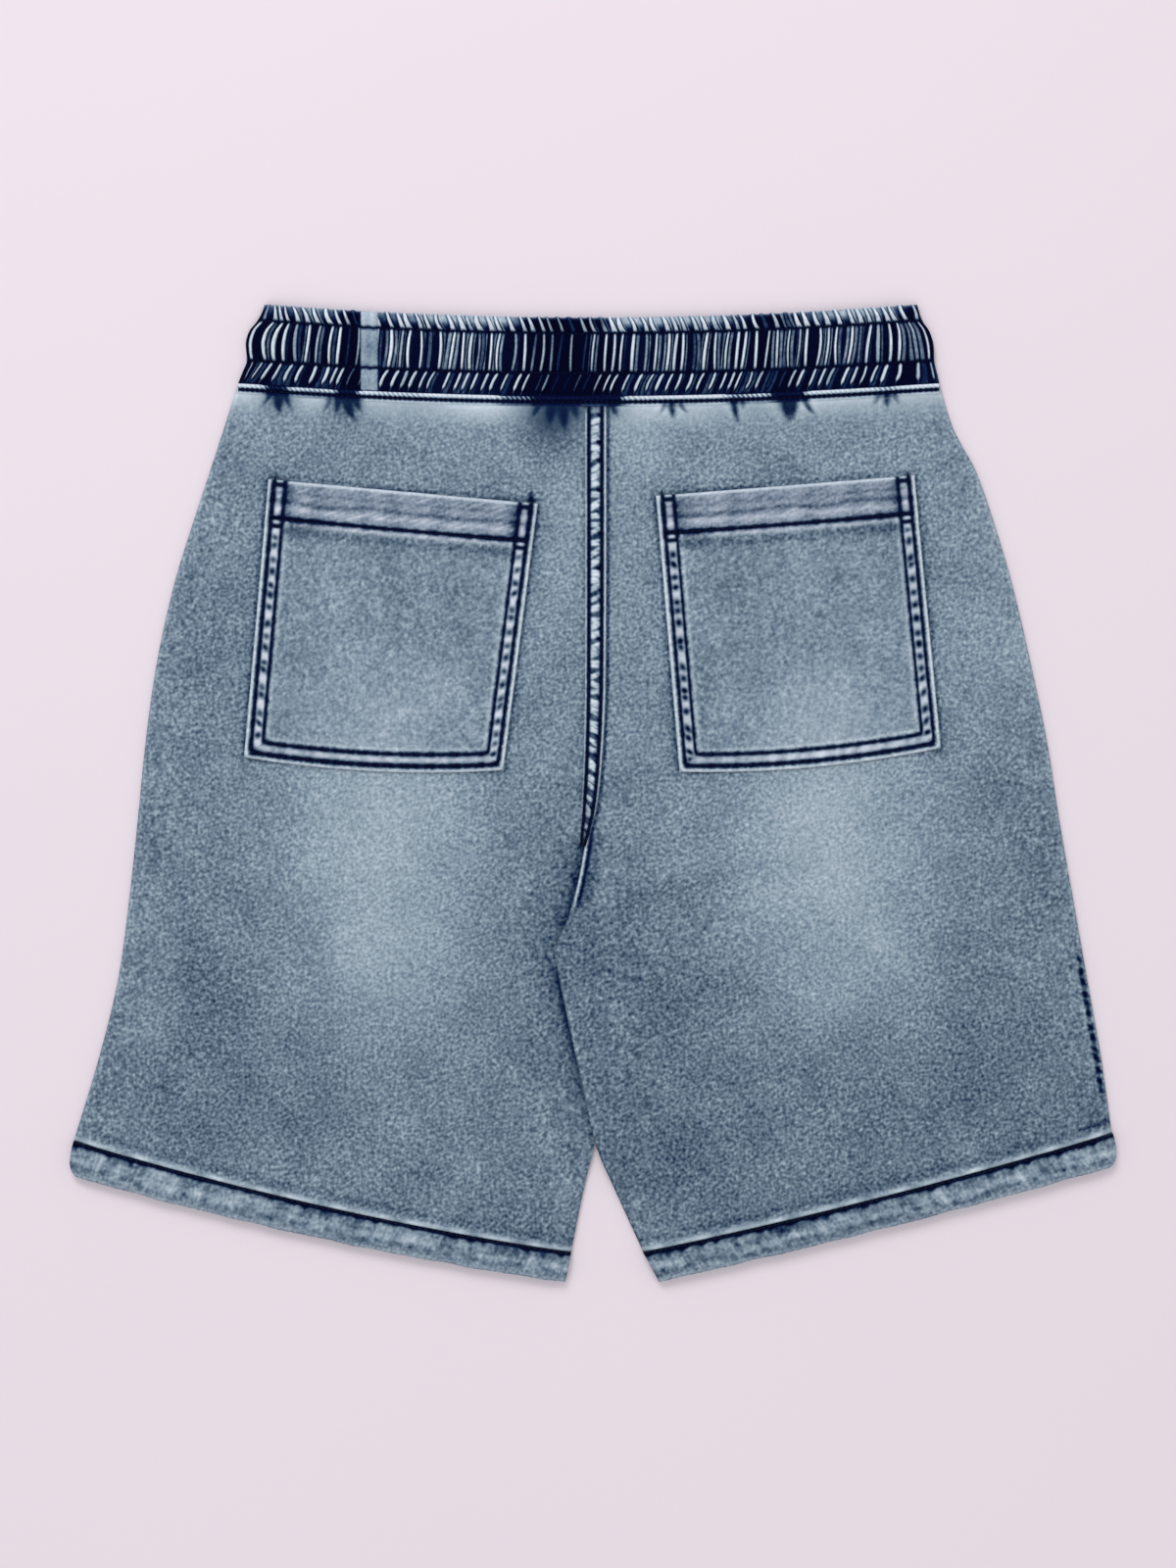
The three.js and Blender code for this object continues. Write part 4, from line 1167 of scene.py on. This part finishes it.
def hem_row(side):
    """The path of a hem's stitching, just below its upper edge."""
    u = np.linspace(0.004, 0.996, 700)
    x, y = hem_plan(side, u, np.full_like(u, 0.7 / HEM_DEPTH))
    return np.stack([x, y, hem_under(side, u) + HEM_FOLD - 0.45 - hem_ends(u)], -1)


def band_row(down):
    """The path of a row of stitching across the gathered band, short of its two ends."""
    x, y, z, _ = band_surface(BAND_ROW_STEPS, np.array([down, down]))
    return np.stack([x[0], y[0], z[0] + 0.05], -1)[8:-8]


def seen(red, green, blue):
    """A colour as seen, 0 to 255, as the light values that a shader takes."""
    c = np.array([red, green, blue]) / 255
    linear = np.where(c <= 0.04045, c / 12.92, ((c + 0.055) / 1.055) ** 2.4)
    return linear.tolist()


class NodeSheet:
    """A material's nodes, added and joined a line at a time."""

    def __init__(self, name):
        self.material = bpy.data.materials.new(name)
        self.material.use_nodes = True
        self.tree = self.material.node_tree
        self.shader = self.tree.nodes["Principled BSDF"]
        self.object = self.tree.nodes.new("ShaderNodeTexCoord").outputs["Object"]

    def add(self, kind, inputs=(), **settings):
        node = self.tree.nodes.new("ShaderNode" + kind)
        for key, value in settings.items():
            setattr(node, key, value)
        for key, value in dict(inputs).items():
            if isinstance(value, bpy.types.NodeSocket):
                self.tree.links.new(value, node.inputs[key])
            else:
                node.inputs[key].default_value = value
        return node

    def sums(self, operation, a, b):
        return self.add("Math", {0: a, 1: b}, operation=operation).outputs[0]

    def carried(self, quality):
        """What the piece's points carry under a name."""
        return self.add("Attribute", attribute_name=quality).outputs["Fac"]

    def noise(self, scale, detail=2.0, roughness=0.5, stretch=(1, 1, 1), turn=0.0):
        """Noise on the cloth, its features about 1 / (scale * stretch) metres across,
        stretched along axes that are turned in the cloth's plane."""
        inputs = {"Vector": self.object, "Scale": [1 / part for part in stretch], "Rotation": (0, 0, turn)}
        vector = self.add("Mapping", inputs, vector_type="TEXTURE").outputs[0]
        inputs = {"Vector": vector, "Scale": scale, "Detail": detail, "Roughness": roughness}
        return self.add("TexNoise", inputs).outputs["Fac"]

    def ranged(self, value, low, high, to_low, to_high):
        """value taken from one range to another."""
        inputs = {"Value": value, "From Min": low, "From Max": high, "To Min": to_low, "To Max": to_high}
        return self.add("MapRange", inputs).outputs[0]

    def shift(self, value, noise, amount):
        """value plus the noise, centred, times amount."""
        centred = self.sums("SUBTRACT", noise, 0.5)
        return self.sums("ADD", value, self.sums("MULTIPLY", centred, amount))

    def ramp(self, value, stops):
        """The colours at (position, colour) stops, looked up by a value."""
        node = self.add("ValToRGB", {"Fac": value})
        points = node.color_ramp.elements
        while len(points) < len(stops):
            points.new(0.5)
        for point, (position, _) in zip(points, stops):
            point.position = position
        for point, (_, colour) in zip(points, stops):
            point.color = (*colour, 1)
        return node.outputs["Color"]

    def finish(self, colour, roughness, specular, relief=None, strength=0.0, distance=0.0):
        """The material with its colour, its gloss and, where it has one, its relief."""
        self.tree.links.new(colour, self.shader.inputs["Base Color"])
        if relief:
            bump = self.add("Bump", {"Height": relief, "Strength": strength, "Distance": distance})
            self.tree.links.new(bump.outputs["Normal"], self.shader.inputs["Normal"])
        self.shader.inputs["Roughness"].default_value = roughness
        self.shader.inputs["Specular IOR Level"].default_value = specular
        return self.material


def denim_material(name, grain_turn=0.0, mottle=1.0, blush_to=(1.09, 0.98, 1.03)):
    """Washed denim: the piece's tone, broken up by heathered dye, slubby yarns both ways
    and soft clouds, is looked up in the dye's colours. Fine twill and yarn make the bump."""
    dye = bpy.context.scene.shorts.dye
    sheet = NodeSheet(name)
    tone = sheet.carried("tone")
    heather = sheet.noise(HEATHER, 0.4, 0.4)
    weft = sheet.noise(1.0, 0.5, stretch=WEFT, turn=grain_turn + 0.5)
    warp = sheet.noise(1.0, 0.5, stretch=WARP, turn=grain_turn)
    clouds = sheet.noise(CLOUDS, 3.0, 0.58)
    depth = sheet.ranged(tone, 0.08, 0.4, 0.25, 1.0)
    depth = sheet.sums("MULTIPLY", depth, sheet.ranged(tone, 0.46, 0.68, 1.0, 0.5))
    depth = sheet.sums("MULTIPLY", depth, sheet.sums("SUBTRACT", 1.0, sheet.carried("calm")))
    speckle = sheet.shift(0.0, heather, dye.heather * mottle)
    speckle = sheet.shift(speckle, weft, dye.slub * mottle)
    speckle = sheet.shift(speckle, warp, 0.8 * dye.slub * mottle)
    speckle = sheet.shift(speckle, clouds, dye.clouds)
    value = sheet.sums("ADD", tone, sheet.sums("MULTIPLY", speckle, depth))
    stops = [(stop["tone"] / 255, seen(stop["red"], stop["green"], stop["blue"])) for stop in rows_of(DYE)]
    inputs = {0: sheet.carried("blush"), 6: sheet.ramp(value, stops), 7: (*blush_to, 1)}
    blushed = sheet.add("Mix", inputs, data_type="RGBA", blend_type="MULTIPLY")
    turned = sheet.add("Mapping", {"Vector": sheet.object, "Rotation": (0, 0, grain_turn + 0.35)})
    inputs = {"Vector": turned.outputs[0], "Scale": dye.twill, "Distortion": 1.2, "Detail": 1.0}
    twill = sheet.add("TexWave", inputs, bands_direction="DIAGONAL").outputs["Fac"]
    relief = sheet.sums("ADD", sheet.sums("MULTIPLY", twill, 0.35), heather)
    relief = sheet.sums("ADD", relief, sheet.sums("MULTIPLY", weft, 0.6))
    sheet.shader.inputs["Sheen Weight"].default_value = 0.02
    sheet.shader.inputs["Sheen Roughness"].default_value = 0.5
    return sheet.finish(blushed.outputs[2], 0.93, 0.04, relief, 0.55, 0.0005)


def thread_material():
    """Indigo sewing thread: fine twist as bump and a slight unevenness of dye."""
    dye = bpy.context.scene.shorts.dye
    sheet = NodeSheet("indigo_thread")
    fleck = sheet.noise(900)
    colour = sheet.ramp(fleck, [(0.35, dye.thread_deep), (0.75, dye.thread_worn)])
    return sheet.finish(colour, 0.85, 0.05, fleck, 0.4, 0.0002)


def floor_material(colour):
    """Plain pale paper with the faintest unevenness."""
    sheet = NodeSheet("pale_ground")
    stops = [(0, [0.985 * part for part in colour]), (1, colour)]
    return sheet.finish(sheet.ramp(sheet.noise(3.0, 1.0), stops), 0.95, 0.1)


def denim(name, *looks, **more):
    """The named denim, made the first time that a piece asks for it."""
    return bpy.data.materials.get(name) or denim_material(name, *looks, **more)


def band_denim():
    return denim("gathered_denim", mottle=0.45, blush_to=(0.99, 1.0, 1.1))


def thread():
    return bpy.data.materials.get("indigo_thread") or thread_material()


def lay_sheet(piece, plan):
    """Samples the outline of a plan, 120 points along each of its four sides, and the two ends of the
    line across its middle; nothing is made of them."""
    t = np.linspace(0, 1, 120)
    one, nil = np.ones_like(t), np.zeros_like(t)
    sides = [plan(t, nil), plan(one, t), plan(t[::-1], one), plan(nil, t[::-1])]
    middle_x, middle_y = plan(np.array([0.0, 1.0]), np.array([0.5, 0.5]))


class SewingSettings(bpy.types.PropertyGroup):
    """Sizes of the thread and its stitches."""

    length: FloatProperty(
        name="Stitch length", description="Length of one stitch", default=2.9 * MM, min=MM, unit="LENGTH"
    )
    gap: FloatProperty(
        name="Stitch gap", description="Cloth left bare between two", default=0.35 * MM, min=0, unit="LENGTH"
    )
    radius: FloatProperty(
        name="Thread radius", description="Half its thickness", default=0.38 * MM, min=0, unit="LENGTH"
    )


class DyeSettings(bpy.types.PropertyGroup):
    """How the dye and the weave vary."""

    heather: FloatProperty(
        name="Heather", description="Contrast of the flecks", default=0.49, min=0, max=2, subtype="FACTOR"
    )
    slub: FloatProperty(
        name="Slub", description="Contrast of uneven yarns", default=0.25, min=0, max=2, subtype="FACTOR"
    )
    clouds: FloatProperty(
        name="Clouds", description="Contrast of soft clouds", default=0.24, min=0, max=2, subtype="FACTOR"
    )
    twill: FloatProperty(name="Twill", description="Density of the twill's ribs", default=560, min=1)
    thread_deep: FloatVectorProperty(
        name="Deep thread", description="Its darkest colour", default=(0.002, 0.004, 0.018), subtype="COLOR"
    )
    thread_worn: FloatVectorProperty(
        name="Worn thread", description="Its palest colour", default=(0.008, 0.014, 0.045), subtype="COLOR"
    )


class StageSettings(bpy.types.PropertyGroup):
    """The ground, the lights and the camera."""

    camera_height: FloatProperty(
        name="Camera height", description="Height above the ground", default=1.6, min=0.5, unit="LENGTH"
    )
    ground: FloatVectorProperty(
        name="Ground", description="Colour of the ground", default=(0.79, 0.711, 0.774), subtype="COLOR"
    )
    sky: FloatProperty(name="Sky", description="Light from all round", default=0.635, min=0)
    key: FloatProperty(name="Key", description="Power of the main light", default=40, min=0, unit="POWER")


class ShortsSettings(bpy.types.PropertyGroup):
    """Everything about the shorts that can be set."""

    sewing: PointerProperty(type=SewingSettings, name="Sewing", description="Thread and stitches")
    dye: PointerProperty(type=DyeSettings, name="Dye", description="Dye and weave")
    stage: PointerProperty(type=StageSettings, name="Stage", description="Ground, lights and camera")


class SHORTS_OT_front(bpy.types.Operator):
    """Lay the two front panels on the surface"""

    bl_idname = "shorts.front"
    bl_label = "Front panels"

    def execute(self, context):
        for side in SIDES:
            lay_sheet(make_front_panel(side), partial(panel_plan, side))
        return {"FINISHED"}


class SHORTS_OT_back(bpy.types.Operator):
    """Lay the two back panels on the front ones"""

    bl_idname = "shorts.back"
    bl_label = "Back panels"

    def execute(self, context):
        for side in SIDES:
            lay_sheet(make_back_panel(side), partial(panel_plan, side))
        return {"FINISHED"}


class SHORTS_OT_seam(bpy.types.Operator):
    """Fell the centre seam and sew its two rows"""

    bl_idname = "shorts.seam"
    bl_label = "Centre seam"

    def execute(self, context):
        piece = make_centre_seam()
        stitching = stitch_mesh("centre_seam_stitching", [fell_row(share) for share in FELL_ROWS])
        lay_sheet(piece, lambda u, v: fell_surface(u, v)[:2])
        return {"FINISHED"}


class SHORTS_OT_pockets(bpy.types.Operator):
    """Sew the two patch pockets onto the back"""

    bl_idname = "shorts.pockets"
    bl_label = "Patch pockets"

    def execute(self, context):
        for side, grain_turn in zip(SIDES, GRAIN_TURNS):
            piece = make_pocket(side, grain_turn)
            stitching = make_pocket_stitching(side)
            lay_sheet(piece, partial(pocket_plan, side))
        return {"FINISHED"}


class SHORTS_OT_hems(bpy.types.Operator):
    """Turn up and stitch the leg hems"""

    bl_idname = "shorts.hems"
    bl_label = "Leg hems"

    def execute(self, context):
        for side in SIDES:
            front, back = make_front_hem(side), make_back_hem(side)
            stitching = stitch_mesh(f"hem_{side}_stitching", [hem_row(side)], HEM_THREAD)
            lay_sheet(front, partial(hem_plan, side))
            lay_sheet(back, partial(hem_plan, side))
        return {"FINISHED"}


class SHORTS_OT_waistband(bpy.types.Operator):
    """Gather the waistband over its elastic and sew its rows"""

    bl_idname = "shorts.waistband"
    bl_label = "Waistband"

    def execute(self, context):
        front, back = make_front_band(), make_back_band()
        rows = [band_row(down) for down in BAND_STITCHES]
        stitching = stitch_mesh("waistband_stitching", rows, BAND_THREAD)
        seam = stitch_mesh("waist_seam_stitching", [band_row(LIP_ROW)], **WAIST_SEAM_THREAD)
        lay_sheet(front, partial(band_part, BAND_FOOT))
        plan = partial(band_part, BAND_FOOT + LIP)
        lay_sheet(back, plan)
        return {"FINISHED"}


class SHORTS_OT_stage(bpy.types.Operator):
    """Set out the ground, the lights and the camera"""

    bl_idname = "shorts.stage"
    bl_label = "Stage"

    def execute(self, context):
        scene, stage = context.scene, context.scene.shorts.stage
        reach, level = GROUND["reach"], GROUND["level"]
        corners = np.array([(reach * i, reach * j, level) for i, j in ((-1, -1), (1, -1), (1, 1), (-1, 1))])
        ground = mesh_object("ground", corners, np.array([(0, 1, 2), (0, 2, 3)]))
        ground.data.materials.append(floor_material(stage.ground))

        camera = bpy.data.cameras.new("camera")
        camera.sensor_width = 36
        camera.lens = camera.sensor_width * stage.camera_height / FRAME_HEIGHT
        seen_from = bpy.data.objects.new("camera", camera)
        seen_from.location = (*CAMERA_OVER, stage.camera_height)
        scene.collection.objects.link(seen_from)
        scene.camera = seen_from

        for lamp in rows_of(LAMPS):
            name = "key" if lamp["share"] == 1 else "fill"
            light = bpy.data.objects.new(name, bpy.data.lights.new(name, "AREA"))
            light.data.energy = lamp["share"] * stage.key
            light.data.size = lamp["size"]
            up, round_to = math.radians(lamp["up"]), math.radians(lamp["round"])
            out = math.cos(up)
            from_middle = (out * math.cos(round_to), out * math.sin(round_to), math.sin(up))
            light.location = [lamp["away"] * part for part in from_middle]
            light.rotation_euler = (math.pi / 2 - up, 0, round_to + math.pi / 2)
            scene.collection.objects.link(light)

        world = bpy.data.worlds.new("soft_studio")
        world.use_nodes = True
        sky = world.node_tree.nodes["Background"]
        sky.inputs["Color"].default_value = (1.0, 0.995, 1.0, 1)
        sky.inputs["Strength"].default_value = stage.sky
        scene.world = world
        scene.view_settings.view_transform = "Standard"
        return {"FINISHED"}


class SHORTS_PT_panel(bpy.types.Panel):
    """The shorts' pieces, in the order in which they are laid"""

    bl_label = "Denim Shorts"
    bl_idname = "SHORTS_PT_panel"
    bl_space_type = "VIEW_3D"
    bl_region_type = "UI"
    bl_category = "Shorts"

    def draw(self, context):
        layout = self.layout
        for operator in OPERATORS:
            layout.operator(operator.bl_idname)
        chosen = context.scene.shorts
        for group in (chosen.sewing, chosen.dye, chosen.stage):
            box = layout.box()
            for name in group.__annotations__:
                box.prop(group, name)


OPERATORS = (
    SHORTS_OT_stage,
    SHORTS_OT_front,
    SHORTS_OT_back,
    SHORTS_OT_seam,
    SHORTS_OT_pockets,
    SHORTS_OT_hems,
    SHORTS_OT_waistband,
)
CLASSES = (SewingSettings, DyeSettings, StageSettings, ShortsSettings, *OPERATORS, SHORTS_PT_panel)


def register():
    for item in CLASSES:
        bpy.utils.register_class(item)
    bpy.types.Scene.shorts = bpy.props.PointerProperty(type=ShortsSettings)


def unregister():
    del bpy.types.Scene.shorts
    for item in reversed(CLASSES):
        bpy.utils.unregister_class(item)


def main():
    """Makes every piece in order."""
    register()
    for operator in OPERATORS:
        group, name = operator.bl_idname.split(".")
        getattr(getattr(bpy.ops, group), name)()


if __name__ == "__main__":
    main()
